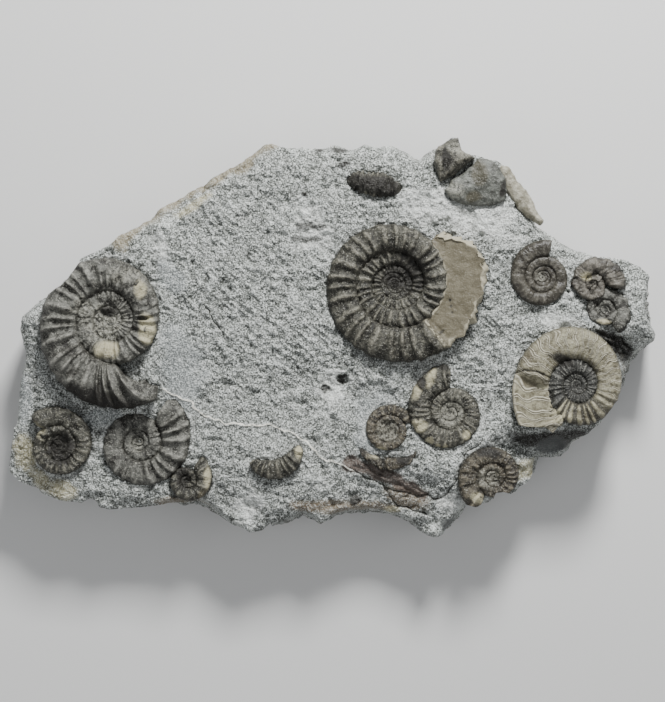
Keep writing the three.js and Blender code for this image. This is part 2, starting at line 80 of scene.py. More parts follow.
# The photograph's frame, and the columns and rows in it that the slab reaches
PHOTO_WIDTH, PHOTO_HEIGHT = 665, 702
LEFT_COLUMN, RIGHT_COLUMN = 8, 657
TOP_ROW, BOTTOM_ROW = 136.7, 538
PIXEL = (CAD_HIGH.x - CAD_LOW.x) / (RIGHT_COLUMN - LEFT_COLUMN)
MIDDLE_COLUMN = (LEFT_COLUMN + RIGHT_COLUMN) / 2
MIDDLE_ROW = (TOP_ROW + BOTTOM_ROW) / 2


def at(place):
    """Point of the face, in metres, at a column and row of the photograph."""
    column, row = place
    return np.array([(column - MIDDLE_COLUMN) * PIXEL, (MIDDLE_ROW - row) * PIXEL])


def tone(red, green, blue):
    """Linear colour from the three screen values, 0 to 255."""
    shares = [value / 255 for value in (red, green, blue)]
    return tuple(((share + 0.055) / 1.055) ** 2.4 if share > 0.04045 else share / 12.92 for share in shares)


# Whole shells. The pole is the middle of the spiral, reach the outer radius where the shell ends, end the
# direction of its mouth, growth the widening in one turn and hand +1 where it opens anticlockwise. Chamber
# and smooth are the turns at the mouth that are broken open or bare of ribs, sunk is how far the middle
# lies below the outer whorl in millimetres, and blunt, skew and broken shape the mouth.
SHELLS = {
    "left_large_ammonite": dict(
        pole=(111.5, 320.5), reach=90.5, end=308, growth=2.0, hand=1, ribs=30, stretch=(0.98, 1.04),
        relief=0.1, bend=0.25, wear=1.5, skew=-0.2, finish="grey", seed=1),
    "centre_large_ammonite": dict(
        pole=(394.5, 284.5), reach=95, end=50, growth=1.69, hand=1, ribs=27,
        relief=0.13, bend=0.2, wear=1.3, sunk=1.8, chamber=0.285, broken=0.3, blunt=0.008,
        finish="dark", seed=2),
    "lower_left_middle_ammonite": dict(
        pole=(139, 442), reach=59, end=56, growth=2.2, hand=1, ribs=19,
        relief=0.13, bend=0.2, finish="grey", seed=3),
    "lower_left_small_ammonite": dict(
        pole=(59, 445.3), reach=41.7, end=135, growth=1.8, hand=1, ribs=24,
        relief=0.08, bend=0.1, wear=1.4, finish="dark", seed=4),
    "lower_left_edge_ammonite": dict(
        pole=(187, 480), reach=30, end=60, growth=2.5, hand=1, ribs=14,
        relief=0.05, bend=0, finish="dark", seed=5),
    "centre_right_ammonite": dict(
        pole=(450, 412.5), reach=49.5, end=90, growth=2.0, hand=-1, ribs=30,
        relief=0.06, bend=0.2, finish="dark", seed=6),
    "centre_small_ammonite": dict(
        pole=(388.5, 430), reach=28, end=20, growth=1.6, hand=-1, ribs=20,
        relief=0.04, bend=0.1, finish="brown", seed=7),
    "upper_right_ammonite": dict(
        pole=(542.3, 277.4), reach=38, end=75, growth=1.75, hand=-1, ribs=24,
        relief=0.02, bend=0.3, wear=0.5, blunt=0.006, finish="smooth", seed=8),
    "right_cream_ammonite": dict(
        pole=(576, 385), reach=69.3, end=215, growth=2.1, hand=1, ribs=26, stretch=(1, 1.08),
        relief=0.08, bend=0.1, smooth=0.62, skew=0.28, blunt=0.01, chamber=0.135, finish="cream", seed=9),
    "far_right_upper_ammonite": dict(
        pole=(592, 284), reach=35, end=-12, growth=2.6, hand=-1, ribs=0,
        relief=0, bend=0, wear=1.6, ragged=0.3, finish="drab", seed=10),
    "far_right_lower_ammonite": dict(
        pole=(604, 310), reach=29, end=-60, growth=2.0, hand=-1, ribs=0,
        relief=0, bend=0, wear=1.2, ragged=0.25, finish="grey", seed=11),
    "lower_right_ammonite": dict(
        pole=(493, 476.5), reach=40, end=245, growth=2.0, hand=1, ribs=22,
        relief=0.07, bend=0.2, wear=1.3, finish="brown", seed=12),
}

# Curved pieces of one whorl that taper to both ends: radii of their two edges, and the angles between them
WHORL_PIECES = {
    "bottom_crescent_whorl": dict(
        pole=(272, 442), radii=(17, 37), angles=(222, 354), ribs=9, finish="dark", seed=13),
    "centre_small_outer_whorl": dict(
        pole=(389, 430), radii=(28.5, 39), angles=(214, 322), ribs=6, ragged=0.35,
        finish="brown", seed=14),
}

# The shell that stands on edge: half its length and width, how it is turned, and the rise of its arc
EDGE_ON_SHELL = dict(place=(374, 185), reach=(37, 12), turn=-10, rise=3.4, ribs=13, finish="dark", seed=15)

# Pieces at the top rim: outline and height of the back above it; a fan of folds opens from its hinge
FRAGMENTS = {
    "top_ribbed_fragment": dict(
        outline=((433, 160), (437.5, 146), (452, 139.5), (457, 139), (461, 151), (475, 158.5), (463, 168.5),
                 (453, 176), (440, 182), (435, 171)), rise=2.4, hinge=(440, 183), finish="dark", seed=16),
    "top_smooth_whorl": dict(
        outline=((477, 160), (487, 160.5), (498, 166), (504, 178), (507, 192), (503, 202), (489, 207),
                 (466, 206), (451, 200.5), (443, 191), (452, 181), (466, 172)), rise=1.6,
        finish="mould", seed=17),
    "top_shell_strip": dict(
        outline=((499, 165), (509, 167), (517.5, 180), (527, 192), (534, 204), (538, 214),
                 (544, 221), (541, 226), (531, 219.5), (517, 208), (506, 194), (500, 181)), rise=1.6,
        finish="pale", seed=18),
}

# Coloured areas of the rock face, some of the dark ones painted shadow: column, row, reach along and across,
# turn
WHITE_AREAS = ((311, 226, 21, 33, 0), (311, 233, 22, 8, 0), (486, 218, 46, 30, -20),
               (246, 507, 22, 24, 0), (430, 205, 34, 22, 0), (560, 330, 26, 20, 0), (334, 398, 12, 22, 15),
               (450, 502, 22, 12, 20), (160, 250, 16, 22, 30))
CREAM_AREAS = ((24, 455, 14, 26, 0), (38, 480, 22, 13, -35), (62, 490, 26, 10, -8), (192, 207, 30, 7, 32),
               (393, 510, 14, 5, 0),
               (530, 470, 13, 12, 0))
# Dark areas: dark-brown lumps near the top rim and dark spots, with painted shadow on the low ledge at the
# lower right and in the notch at the right
DARK_AND_SHADOWED_AREAS = ((540, 438, 58, 11, 4), (612, 343, 26, 9, -32), (628, 352, 14, 10, -40),
              (318, 150, 9, 5, 0), (340, 149, 14, 7, 0), (343, 165, 10, 5, 15), (356, 500, 9, 7, 10),
              (305, 195, 4, 3, 0))
GLOSSY_AREAS = ((553, 445, 21, 11, 8), (450, 526, 11, 7, -20))
BROWN_AREAS = ((340, 506, 60, 7, 0), (634, 375, 12, 28, 22),
               (405, 498, 30, 12, -25), (180, 504, 34, 8, 0))
BLUE_AREAS = ((180, 365, 26, 62, 8), (98, 418, 26, 14, 0), (25, 400, 12, 40, 0), (170, 275, 14, 26, 20),
              (600, 318, 20, 9, 0))
SCRATCHED_AREAS = ((255, 300, 110, 130, 20), (470, 330, 60, 90, 0))

# Areas of the rock face that lie lower, and lines on it
CALCITE_VEIN = ((165, 390), (185, 400), (215, 420), (240, 425), (270, 423), (305, 440), (318, 454),
                (334, 464), (352, 469))
RED_LEDGE = ((350, 464), (372, 470), (390, 477), (408, 487), (424, 495))
STRIPES = (((297, 225.5), (324, 226)), ((295, 240.5), (319, 239.5)))
RIM_BAND = ((122, 240), (152, 212), (176, 200), (218, 177), (252, 155), (272, 144))
# Crevices are sunk into the face and darkened with painted shade
CREVICES = (
    ((424, 496), (436, 500), (448, 495), (457, 482), (461, 466), (466, 452), (480, 443)),
    ((504, 176), (509, 190), (516, 202), (527, 213), (540, 225), (546, 230)),
    ((352, 468), (376, 481), (396, 490), (424, 498)),
    ((383, 484), (388, 496), (402, 508), (428, 514)),
    ((205, 306), (214, 320), (224, 334)),
    ((596, 330), (608, 336), (622, 338), (634, 348)),
    ((604, 340), (618, 350), (630, 355)),
)
HOLLOWS = ((374, 419, 27, 40, 0),)
# Pits are sunk into the face and darkened with painted shade
PITS = ((342, 379, 9, 5, -20), (326, 390, 4, 4, 0), (568, 292, 2.5, 2.5, 0), (355, 499, 5, 4, 0))


# Noise and shared arithmetic

HASH_PRIMES = (374761393, 668265263, 1274126177)
HASH_MASK = 0x7FFFFFFF


def scrambled(key):
    for shift, prime in ((15, 739982445), (13, 695872825), (16, 1274126177)):
        key = ((key ^ (key >> shift)) * prime) & HASH_MASK
    return key ^ (key >> 14)


def lattice_noise(points, seed):
    """Smooth value noise between -1 and 1 at an array of points, one wave a unit."""
    base = np.floor(points).astype(np.int64)
    part = points - base
    part = part * part * (3 - 2 * part)
    total = np.zeros(len(points))
    for corner in itertools.product((0, 1), repeat=points.shape[1]):
        key = np.full(len(points), (seed * HASH_PRIMES[2]) & HASH_MASK, np.int64)
        for axis, step in enumerate(corner):
            key = scrambled(key ^ ((base[:, axis] + step) * HASH_PRIMES[axis]) & HASH_MASK)
        total += np.prod(np.where(corner, part, 1 - part), axis=1) * (key / (HASH_MASK / 2) - 1)
    return total


def fractal_noise(points, size, seed, octaves=3, gain=0.5):
    """Noise whose largest waves have the given size, in metres."""
    total = np.zeros(len(points))
    for octave in range(octaves):
        total += gain ** octave * lattice_noise(points * (2 ** octave / size), seed + 31 * octave)
    return total


def ridges(points, size, seed):
    """Sharp-backed noise between 0 and 1, for scratches and broken edges."""
    return 1 - np.abs(lattice_noise(points / size, seed))


def site_values(cells, seed, count):
    """A few random numbers, between -1 and 1, for each cell of a plane."""
    return [lattice_noise(cells, seed + 11 * index) for index in range(count)]


def chips(points, size, seed):
    """Height of a broken face: flat facets of about the given size, each tilted and raised by its own."""
    scaled = points / size
    cell = np.floor(scaled)
    best = np.full(len(points), np.inf)
    height = np.zeros(len(points))
    for step in itertools.product((-1, 0, 1), repeat=2):
        corner = cell + step
        shift_x, shift_y, tilt_x, tilt_y, rise = site_values(corner, seed, 5)
        apart = scaled - corner - 0.5 - 0.45 * np.column_stack([shift_x, shift_y])
        distance = np.einsum("ij,ij->i", apart, apart)
        nearer = distance < best
        best = np.where(nearer, distance, best)
        height = np.where(nearer, 0.5 * rise + tilt_x * apart[:, 0] + tilt_y * apart[:, 1], height)
    return height


def smooth_step(values, low, high):
    share = np.clip((values - low) / (high - low), 0, 1)
    return share * share * (3 - 2 * share)


def turned(points, degrees, stretch=1.0):
    """Points turned about the origin, then drawn together along X, so that noise on them runs long in X."""
    angle = math.radians(degrees)
    x = points[:, 0] * math.cos(angle) + points[:, 1] * math.sin(angle)
    y = points[:, 1] * math.cos(angle) - points[:, 0] * math.sin(angle)
    return np.stack([x / stretch, y], 1)


def area_share(points, areas, seed, ragged=0.35, soft=0.5):
    """How far each point lies in any of the areas, 0 to 1, with ragged edges."""
    share = np.zeros(len(points))
    wander = ragged * fractal_noise(points, 5 * MM, seed)
    for column, row, along, across, turn in areas:
        local = turned(points - at((column, row)), turn)
        far = np.hypot(local[:, 0] / along, local[:, 1] / across) / PIXEL
        share = np.maximum(share, 1 - smooth_step(far + wander, 1 - soft, 1))
    return share


def line_distance(points, line):
    """Distance from each point to a line through places of the photograph, in metres."""
    corners = [at(place) for place in line]
    nearest = np.full(len(points), np.inf)
    for start, end in zip(corners, corners[1:]):
        along = end - start
        share = np.clip((points - start) @ along / (along @ along), 0, 1)
        nearest = np.minimum(nearest, np.linalg.norm(points - start - share[:, None] * along, axis=1))
    return nearest


def line_sides(points, lines):
    """Distance to the nearest of some lines, and the same with the sign of the point's side."""
    nearest = np.full(len(points), np.inf)
    signed = nearest.copy()
    for line in lines:
        corners = [at(place) for place in line]
        for start, end in zip(corners, corners[1:]):
            along = end - start
            share = np.clip((points - start) @ along / (along @ along), 0, 1)
            apart = points - start - share[:, None] * along
            distance = np.linalg.norm(apart, axis=1)
            side = np.sign(along[0] * apart[:, 1] - along[1] * apart[:, 0])
            signed = np.where(distance < nearest, distance * side, signed)
            nearest = np.minimum(nearest, distance)
    return nearest, signed


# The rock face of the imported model, as a map of levels

CELL = 0.5 * MM
MAP_MARGIN = 4 * MM
CAST_HEIGHT = 0.1


def search_tree(meshes):
    """One search tree over some meshes."""
    points, faces = [], []
    for mesh in meshes:
        first = len(points)
        points.extend(vertex.co.copy() for vertex in mesh.vertices)
        faces.extend([first + index for index in polygon.vertices] for polygon in mesh.polygons)
    return BVHTree.FromPolygons(points, faces)


def cad_tree(*names):
    return search_tree([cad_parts[name].data for name in names])


def cast_down(tree, x, y):
    hit = tree.ray_cast(Vector((x, y, CAST_HEIGHT)), Vector((0, 0, -1)))[0]
    return math.nan if hit is None else hit.z


def box_blur(grid, times):
    for _ in range(times):
        padded = np.pad(grid, 1, mode="edge")
        rows = padded[:-2] + padded[1:-1] + padded[2:]
        grid = (rows[:, :-2] + rows[:, 1:-1] + rows[:, 2:]) / 9
    return grid


def filled_in(grid, known, rounds=900):
    """Unknown cells relaxed to the average of their neighbours."""
    level = np.where(known, grid, np.mean(grid[known]))
    for _ in range(rounds):
        padded = np.pad(level, 1, mode="edge")
        average = (padded[:-2, 1:-1] + padded[2:, 1:-1] + padded[1:-1, :-2] + padded[1:-1, 2:]) / 4
        level = np.where(known, level, average)
    return level


class FaceMap:
    """Level of the rock face with the beds of the fossils filled in, and how far fossils cover it."""

    def __init__(self):
        self.xs = np.arange(CAD_LOW.x - MAP_MARGIN, CAD_HIGH.x + MAP_MARGIN, CELL)
        self.ys = np.arange(CAD_LOW.y - MAP_MARGIN, CAD_HIGH.y + MAP_MARGIN, CELL)
        rock = cad_tree("rock")
        fossils = [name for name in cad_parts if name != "rock"]
        level = self.cast(rock)
        bedded = np.isfinite(self.cast(cad_tree(*fossils))).astype(float)
        known = np.isfinite(level) & (box_blur(bedded, 2) == 0)
        self.level = box_blur(filled_in(np.nan_to_num(level), known), 3)
        looks = [bpy.data.objects.get(name + "_look") for name in fossils]
        made = [look.data for look in looks if look]
        covered = np.isfinite(self.cast(search_tree(made))) if made else bedded
        self.cover = box_blur(covered.astype(float), 2)

    def cast(self, tree):
        """Level of whatever lies in the tree, at every cell."""
        return np.array([[cast_down(tree, x, y) for x in self.xs] for y in self.ys])

    def sample(self, grid, points):
        """Value of one of the maps at an array of points."""
        column = np.clip((points[:, 0] - self.xs[0]) / CELL, 0, len(self.xs) - 1.001)
        row = np.clip((points[:, 1] - self.ys[0]) / CELL, 0, len(self.ys) - 1.001)
        left, low = column.astype(int), row.astype(int)
        u, v = column - left, row - low
        lower = grid[low, left] * (1 - u) + grid[low, left + 1] * u
        upper = grid[low + 1, left] * (1 - u) + grid[low + 1, left + 1] * u
        return lower * (1 - v) + upper * v


# Meshes

def mesh_object(name, points, faces, smooth=True):
    mesh = bpy.data.meshes.new(name)
    mesh.from_pydata(np.asarray(points).tolist(), [], faces)
    mesh.polygons.foreach_set("use_smooth", np.full(len(faces), smooth))
    mesh.update()
    thing = bpy.data.objects.new(name, mesh)
    bpy.context.scene.collection.objects.link(thing)
    return thing


def vertex_points(mesh):
    points = np.empty(3 * len(mesh.vertices), np.float32)
    mesh.vertices.foreach_get("co", points)
    return points.reshape(-1, 3).astype(float)


def paint(mesh, name, values):
    """Store one number a vertex, for the materials to read."""
    layer = mesh.attributes.get(name) or mesh.attributes.new(name, "FLOAT", "POINT")
    layer.data.foreach_set("value", np.asarray(values, np.float32))


def inside_loop(points, loop):
    """Which points lie inside a closed loop."""
    inside = np.zeros(len(points), bool)
    x, y = points[:, 0], points[:, 1]
    for (x1, y1), (x2, y2) in zip(loop, np.roll(loop, -1, axis=0)):
        if y1 == y2:
            continue
        crosses = (y1 > y) != (y2 > y)
        inside ^= crosses & (x < (x2 - x1) * (y - y1) / (y2 - y1) + x1)
    return inside


def loop_distance(points, loop):
    """Distance from each point to the nearest point of a finely divided loop."""
    nearest = np.full(len(points), np.inf)
    for corner in loop:
        nearest = np.minimum(nearest, np.hypot(points[:, 0] - corner[0], points[:, 1] - corner[1]))
    return nearest


def even_loop(loop, count):
    """A closed loop divided into evenly spaced points."""
    closed = np.vstack([loop, loop[:1]])
    lengths = np.concatenate([[0], np.cumsum(np.linalg.norm(np.diff(closed, axis=0), axis=1))])
    marks = np.linspace(0, lengths[-1], count, endpoint=False)
    return np.stack([np.interp(marks, lengths, closed[:, axis]) for axis in (0, 1)], 1)


def filled_loop(loop, step, seed):
    """Triangles that fill a loop: the loop's points first, then shaken points about one step apart."""
    low, high = loop.min(axis=0), loop.max(axis=0)
    xs = np.arange(low[0], high[0], step)
    ys = np.arange(low[1], high[1], step * math.sqrt(3) / 2)
    grid_x, grid_y = np.meshgrid(xs, ys)
    grid_x[1::2] += step / 2
    inner = np.stack([grid_x.ravel(), grid_y.ravel()], 1)
    inner += np.random.default_rng(seed).uniform(-0.22, 0.22, inner.shape) * step
    inner = inner[inside_loop(inner, loop)]
    inner = inner[loop_distance(inner, loop) > 0.6 * step]
    points = np.vstack([loop, inner])
    edges = [(index, (index + 1) % len(loop)) for index in range(len(loop))]
    result = delaunay_2d_cdt([Vector(point) for point in points], edges, [], 1, 1e-9)
    if len(result[0]) != len(points):
        raise RuntimeError("the triangulation changed the number of points")
    return points, [list(face) for face in result[2]]


# Node trees

class Field:
    """A value of a node tree. Sums and products of fields add the nodes that work them out."""

    def __init__(self, tree, socket):
        self.tree = tree
        self.socket = socket

    def math(self, operation, *others, clamp=False):
        node = self.tree.nodes.new("ShaderNodeMath")
        node.operation = operation
        node.use_clamp = clamp
        for socket, value in zip(node.inputs, (self, *others)):
            connect(self.tree, value, socket)
        return Field(self.tree, node.outputs[0])

    def __add__(self, other):
        return self.math("ADD", other)

    def __sub__(self, other):
        return self.math("SUBTRACT", other)

    def __mul__(self, other):
        return self.math("MULTIPLY", other)

    def __truediv__(self, other):
        return self.math("DIVIDE", other)

    def __pow__(self, other):
        return self.math("POWER", other)

    def __neg__(self):
        return self.math("MULTIPLY", -1)

    __radd__ = __add__
    __rmul__ = __mul__

    def __rsub__(self, other):
        return (-self) + other

    def absolute(self):
        return self.math("ABSOLUTE")

    def step(self, low, high, start=0.0, end=1.0):
        """Rises smoothly from start at low to end at high."""
        node = self.tree.nodes.new("ShaderNodeMapRange")
        node.interpolation_type = "SMOOTHSTEP"
        for name, value in zip(("Value", "From Min", "From Max", "To Min", "To Max"),
                               (self, low, high, start, end)):
            connect(self.tree, value, node.inputs[name])
        return Field(self.tree, node.outputs[0])


def connect(tree, value, socket):
    """Link a field to a socket, or set the socket to a plain value."""
    if isinstance(value, Field):
        tree.links.new(value.socket, socket)
    else:
        socket.default_value = value


def add_node(tree, kind, values=(), **settings):
    """A node with its settings and input values; inputs are named or numbered."""
    node = tree.nodes.new(kind)
    for name, value in settings.items():
        setattr(node, name, value)
    for name, value in dict(values).items():
        connect(tree, value, node.inputs[name])
    return node


def mixed(tree, share, first, second, blend="MIX"):
    """Two colours mixed by a share."""
    node = add_node(tree, "ShaderNodeMix", data_type="RGBA", blend_type=blend)
    sockets = {socket.identifier: socket for socket in node.inputs}
    for name, value in (("Factor_Float", share), ("A_Color", first), ("B_Color", second)):
        if isinstance(value, tuple) and len(value) == 3:
            value = (*value, 1)
        connect(tree, value, sockets[name])
    return Field(tree, next(item for item in node.outputs if item.identifier == "Result_Color"))


# The coiled shell, as a node tree

COIL_NAME = "Coiled Shell"
COIL_INPUTS = {
    "Columns": ("NodeSocketInt", 900),
    "Around": ("NodeSocketInt", 28),
    "Turns": ("NodeSocketFloat", 5.0),
    "Crowding": ("NodeSocketFloat", 2.5),
    "End Angle": ("NodeSocketFloat", 0.0),
    "Hand": ("NodeSocketFloat", 1.0),
    "Reach": ("NodeSocketFloat", 0.02),
    "Growth": ("NodeSocketFloat", 2.0),
    "Inner Share": ("NodeSocketFloat", 0.47),
    "Height Share": ("NodeSocketFloat", 0.37),
    "Flatness": ("NodeSocketFloat", 0.85),
    "Ribs": ("NodeSocketFloat", 20.0),
    "Rib Relief": ("NodeSocketFloat", 0.1),
    "Rib Bend": ("NodeSocketFloat", 0.2),
    "Rib Sharpness": ("NodeSocketFloat", 1.8),
    "Smooth Turns": ("NodeSocketFloat", 0.0),
    "Chamber Turns": ("NodeSocketFloat", 0.0),
    "Broken": ("NodeSocketFloat", 0.0),
    "Wear": ("NodeSocketFloat", 0.00025),
    "Mouth Depth": ("NodeSocketFloat", 0.1),
    "Mouth Rounding": ("NodeSocketFloat", 0.02),
    "Mouth Skew": ("NodeSocketFloat", 0.0),
    "Tapering": ("NodeSocketFloat", 0.0),
    "Tip Sharpness": ("NodeSocketFloat", 0.4),
    "Seed": ("NodeSocketFloat", 0.0),
    "Material": ("NodeSocketMaterial", None),
}


def coil_tree():
    """A grid bent into a tube, wound into a widening spiral, with ribs, a mouth and two closed ends."""
    tree = bpy.data.node_groups.new(COIL_NAME, "GeometryNodeTree")
    for name, (kind, value) in COIL_INPUTS.items():
        socket = tree.interface.new_socket(name, in_out="INPUT", socket_type=kind)
        if value is not None:
            socket.default_value = value
    tree.interface.new_socket("Shell", in_out="OUTPUT", socket_type="NodeSocketGeometry")
    given = tree.nodes.new("NodeGroupInput")

    def value(name):
        return Field(tree, given.outputs[name])

    grid = add_node(tree, "GeometryNodeMeshGrid", {"Size X": 1.0, "Size Y": 1.0})
    tree.links.new(given.outputs["Columns"], grid.inputs["Vertices X"])
    tree.links.new(given.outputs["Around"], grid.inputs["Vertices Y"])
    place = add_node(tree, "ShaderNodeSeparateXYZ")
    tree.links.new(tree.nodes.new("GeometryNodeInputPosition").outputs[0], place.inputs[0])
    lengthwise = Field(tree, place.outputs["X"]) + 0.5
    section_angle = Field(tree, place.outputs["Y"]) * TAU + math.pi / 2

    # The last three columns close the mouth
    cap = (value("Columns") - 1) ** -1 * 3
    along = (lengthwise / (1 - cap)).math("ADD", 0, clamp=True)
    closing = ((lengthwise - 1 + cap) / cap).math("ADD", 0, clamp=True)
    left = 1 - along
    crowding = value("Crowding")
    turns_left = value("Turns") * left * (1 + crowding * left) / (1 + crowding)

    radius = value("Reach") * value("Growth") ** -turns_left
    inner_share = value("Inner Share")
    whorl = radius * (1 - inner_share)
    half_width = whorl / 2
    tip = (along * math.pi).math("SINE").math("MAXIMUM", 0) ** value("Tip Sharpness")
    tapering = value("Tapering")
    fullness = (along / 0.012).math("MINIMUM", 1) ** 0.5 * (1 - tapering) + tip * tapering
    blunt = (1 - turns_left / value("Mouth Rounding")).math("MAXIMUM", 0)
    fullness = fullness * (1 - 0.7 * blunt * blunt) ** 0.5
    fullness = fullness * (1 - 1.01 * closing * closing).math("MAXIMUM", 0) ** 0.5

    cosine = section_angle.math("COSINE")
    sine = section_angle.math("SINE")
    flatness = value("Flatness")
    outward = cosine.math("SIGN") * cosine.absolute() ** flatness
    upward = sine.math("SIGN") * sine.absolute() ** flatness

    # Ribs lean forward towards the outer side and fade at the inner seam and on the earliest whorls
    phase = value("Ribs") * turns_left + value("Rib Bend") * outward * outward
    phase = phase + 0.2 * (phase * 1.7 + value("Seed")).math("SINE")
    wave = (phase * TAU).math("COSINE") * 0.5 + 0.5
    ribbed = turns_left.step(value("Smooth Turns") - 0.03, value("Smooth Turns") + 0.03)
    ribbed = ribbed * outward.step(-0.98, -0.55) * outward.step(0.7, 1, 1, 0.3)
    ribbed = ribbed * turns_left.step(2.6, 4.0, 1, 0)
    rib = wave ** value("Rib Sharpness") * ribbed

    # The chamber is a flat floor between raised rims
    chamber = value("Chamber Turns")
    floor = turns_left.step(chamber - 0.02, chamber + 0.01, 1, 0) * (chamber * 100).math("MINIMUM", 1)
    lowered = 1 - 0.72 * floor * (1 - outward.absolute() ** 6)

    offset = value("Seed") * 0.37
    seat = add_node(tree, "ShaderNodeCombineXYZ")
    skew = value("Mouth Skew") * (1 - outward) * turns_left.step(0, 0.2, 1, 0)
    winding = TAU * turns_left + closing * value("Mouth Depth") - skew
    angle = value("End Angle") - value("Hand") * winding
    lost = value("Broken") * turns_left.step(-0.01, 0.1, 1, 0) * outward.step(-0.9, 1)
    reach = radius * (1 + inner_share) / 2 + half_width * outward * fullness - radius * lost
    height = 2 * half_width * value("Height Share") * upward * lowered * fullness
    for name, part in (("X", reach * angle.math("COSINE")), ("Y", reach * angle.math("SINE")),
                       ("Z", height + offset)):
        connect(tree, part, seat.inputs[name])

    def wear(size, detail):
        noise = add_node(tree, "ShaderNodeTexNoise", {"Scale": 1 / size, "Detail": detail})
        tree.links.new(seat.outputs[0], noise.inputs["Vector"])
        return Field(tree, noise.outputs[0]) - 0.5

    worn = value("Wear") * (wear(2.2 * MM, 2) * 2 + wear(0.7 * MM, 1) * 0.8)
    chipped = value("Broken") * radius * floor * wear(3 * MM, 2) * outward.step(0.2, 1)
    uneven = 0.45 + (wear(7 * MM, 1) + 0.5) * 1.1
    ribbing = whorl * value("Rib Relief") * (rib - 0.4 * ribbed) * uneven * fullness
    raised = ribbing + worn * fullness
    final_reach = reach + raised * cosine + chipped
    moved = add_node(tree, "ShaderNodeCombineXYZ", {
        "X": final_reach * angle.math("COSINE"), "Y": final_reach * angle.math("SINE"),
        "Z": height + raised * sine})

    mesh = grid.outputs["Mesh"]
    for name, field in (("turn", turns_left), ("outward", outward), ("upward", upward), ("rib", rib),
                        ("ribbing", ribbing * sine), ("floor", floor)):
        store = add_node(tree, "GeometryNodeStoreNamedAttribute", {"Name": name, "Value": field},
                         data_type="FLOAT", domain="POINT")
        tree.links.new(mesh, store.inputs["Geometry"])
        mesh = store.outputs["Geometry"]
    for kind, values in (
            ("GeometryNodeSetPosition", {"Position": Field(tree, moved.outputs[0])}),
            ("GeometryNodeMergeByDistance", {"Distance": 1e-7}),
            ("GeometryNodeSetShadeSmooth", {}),
            ("GeometryNodeRealizeInstances", {}),
            ("GeometryNodeSetMaterial", {"Material": value("Material")})):
        node = add_node(tree, kind, values)
        tree.links.new(mesh, node.inputs[0])
        mesh = node.outputs[0]
    tree.links.new(mesh, tree.nodes.new("NodeGroupOutput").inputs["Shell"])
    return tree


def coiled_mesh(name, material, values):
    """Plain mesh that the coil tree makes from a dictionary of its inputs."""
    tree = bpy.data.node_groups.get(COIL_NAME) or coil_tree()
    host = bpy.data.objects.new(name + "_coil", bpy.data.meshes.new(name + "_coil"))
    bpy.context.scene.collection.objects.link(host)
    modifier = host.modifiers.new(COIL_NAME, "NODES")
    modifier.node_group = tree
    for item in tree.interface.items_tree:
        if item.item_type == "SOCKET" and item.in_out == "INPUT":
            if item.name in values:
                modifier[item.identifier] = values[item.name]
            elif item.name == "Material":
                modifier[item.identifier] = material
    graph = bpy.context.evaluated_depsgraph_get()
    mesh = bpy.data.meshes.new_from_object(host.evaluated_get(graph))
    mesh.name = name
    host.modifiers.remove(modifier)
    bpy.data.objects.remove(host)
    if len(mesh.polygons) < 100:
        raise RuntimeError("the coil tree made no shell for " + name)
    return mesh


def attribute_values(mesh, name):
    values = np.empty(len(mesh.vertices), np.float32)
    mesh.attributes[name].data.foreach_get("value", values)
    return values.astype(float)


def face_outward(mesh):
    """Turn a closed mesh the right way round: its faces look out when its volume comes out positive."""
    mesh.calc_loop_triangles()
    corners = np.empty(3 * len(mesh.loop_triangles), np.int32)
    mesh.loop_triangles.foreach_get("vertices", corners)
    points = vertex_points(mesh)
    a, b, c = (points[corners[side::3]] for side in range(3))
    if np.sum(a * np.cross(b, c)) < 0:
        mesh.flip_normals()


# The rim can be seen whole from the heart of the slab
HEART = at((330, 330))
WALL_LEVELS = np.array([0.1, 1.5, 3.0, 4.4, 7.0, 10.0, 13.0, 15.2]) * MM
RIM_MARGIN = 0.5 * MM
RIM_DIRECTIONS = 1080


def cast_in(tree, angle, level):
    """Distance from the heart of the slab to its side, in one direction at one level."""
    way = Vector((math.cos(angle), math.sin(angle), 0))
    start = Vector((*HEART, level)) + way * 0.3
    hit = tree.ray_cast(start, -way)[0]
    if hit is None:
        raise RuntimeError("the packed rock has no side here")
    return (Vector((hit.x, hit.y)) - Vector(HEART)).length


@functools.cache
def shell_limit():
    """Directions round the heart, and how far out a shell may reach in each."""
    tree = cad_tree("rock")
    angles = np.linspace(-math.pi, math.pi, RIM_DIRECTIONS)
    return angles, np.array([cast_in(tree, angle, WALL_LEVELS[-1]) for angle in angles]) - RIM_MARGIN


def within_rim(points):
    """Points that stand out past the slab's rim drawn back to it, towards the heart of the slab."""
    apart = points[:, :2] - HEART
    far = np.hypot(apart[:, 0], apart[:, 1])
    limit = np.interp(np.arctan2(apart[:, 1], apart[:, 0]), *shell_limit())
    points[:, :2] = HEART + apart * np.minimum(1, limit / far)[:, None]
    return points


def seat_on_model(mesh, name, pole):
    """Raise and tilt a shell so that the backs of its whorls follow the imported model's."""
    points = vertex_points(mesh)
    backs = (attribute_values(mesh, "upward") > 0.93) & (attribute_values(mesh, "turn") < 1)
    tree = cad_tree(name)
    chosen = np.flatnonzero(backs)[::7]
    levels = np.array([cast_down(tree, x, y) for x, y, _ in points[chosen]])
    hit = np.isfinite(levels)
    if np.count_nonzero(hit) < 10:
        raise RuntimeError("the packed model has nothing under " + name)
    chosen = chosen[hit]
    apart = points[chosen, :2] - pole
    terms = np.column_stack([np.ones(len(chosen)), apart])
    plane = np.linalg.lstsq(terms, levels[hit] - points[chosen, 2], rcond=None)[0]
    points[:, 2] += plane[0] + (points[:, :2] - pole) @ plane[1:]
    mesh.vertices.foreach_set("co", points.astype(np.float32).ravel())
    mesh.update()


def finish_piece(mesh, name, material):
    """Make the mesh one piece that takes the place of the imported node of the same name."""
    face_outward(mesh)
    piece = bpy.data.objects.new(name + "_look", mesh)
    bpy.context.scene.collection.objects.link(piece)
    mesh.materials.clear()
    mesh.materials.append(material)
    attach(piece, "root")
    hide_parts(name)
    return piece
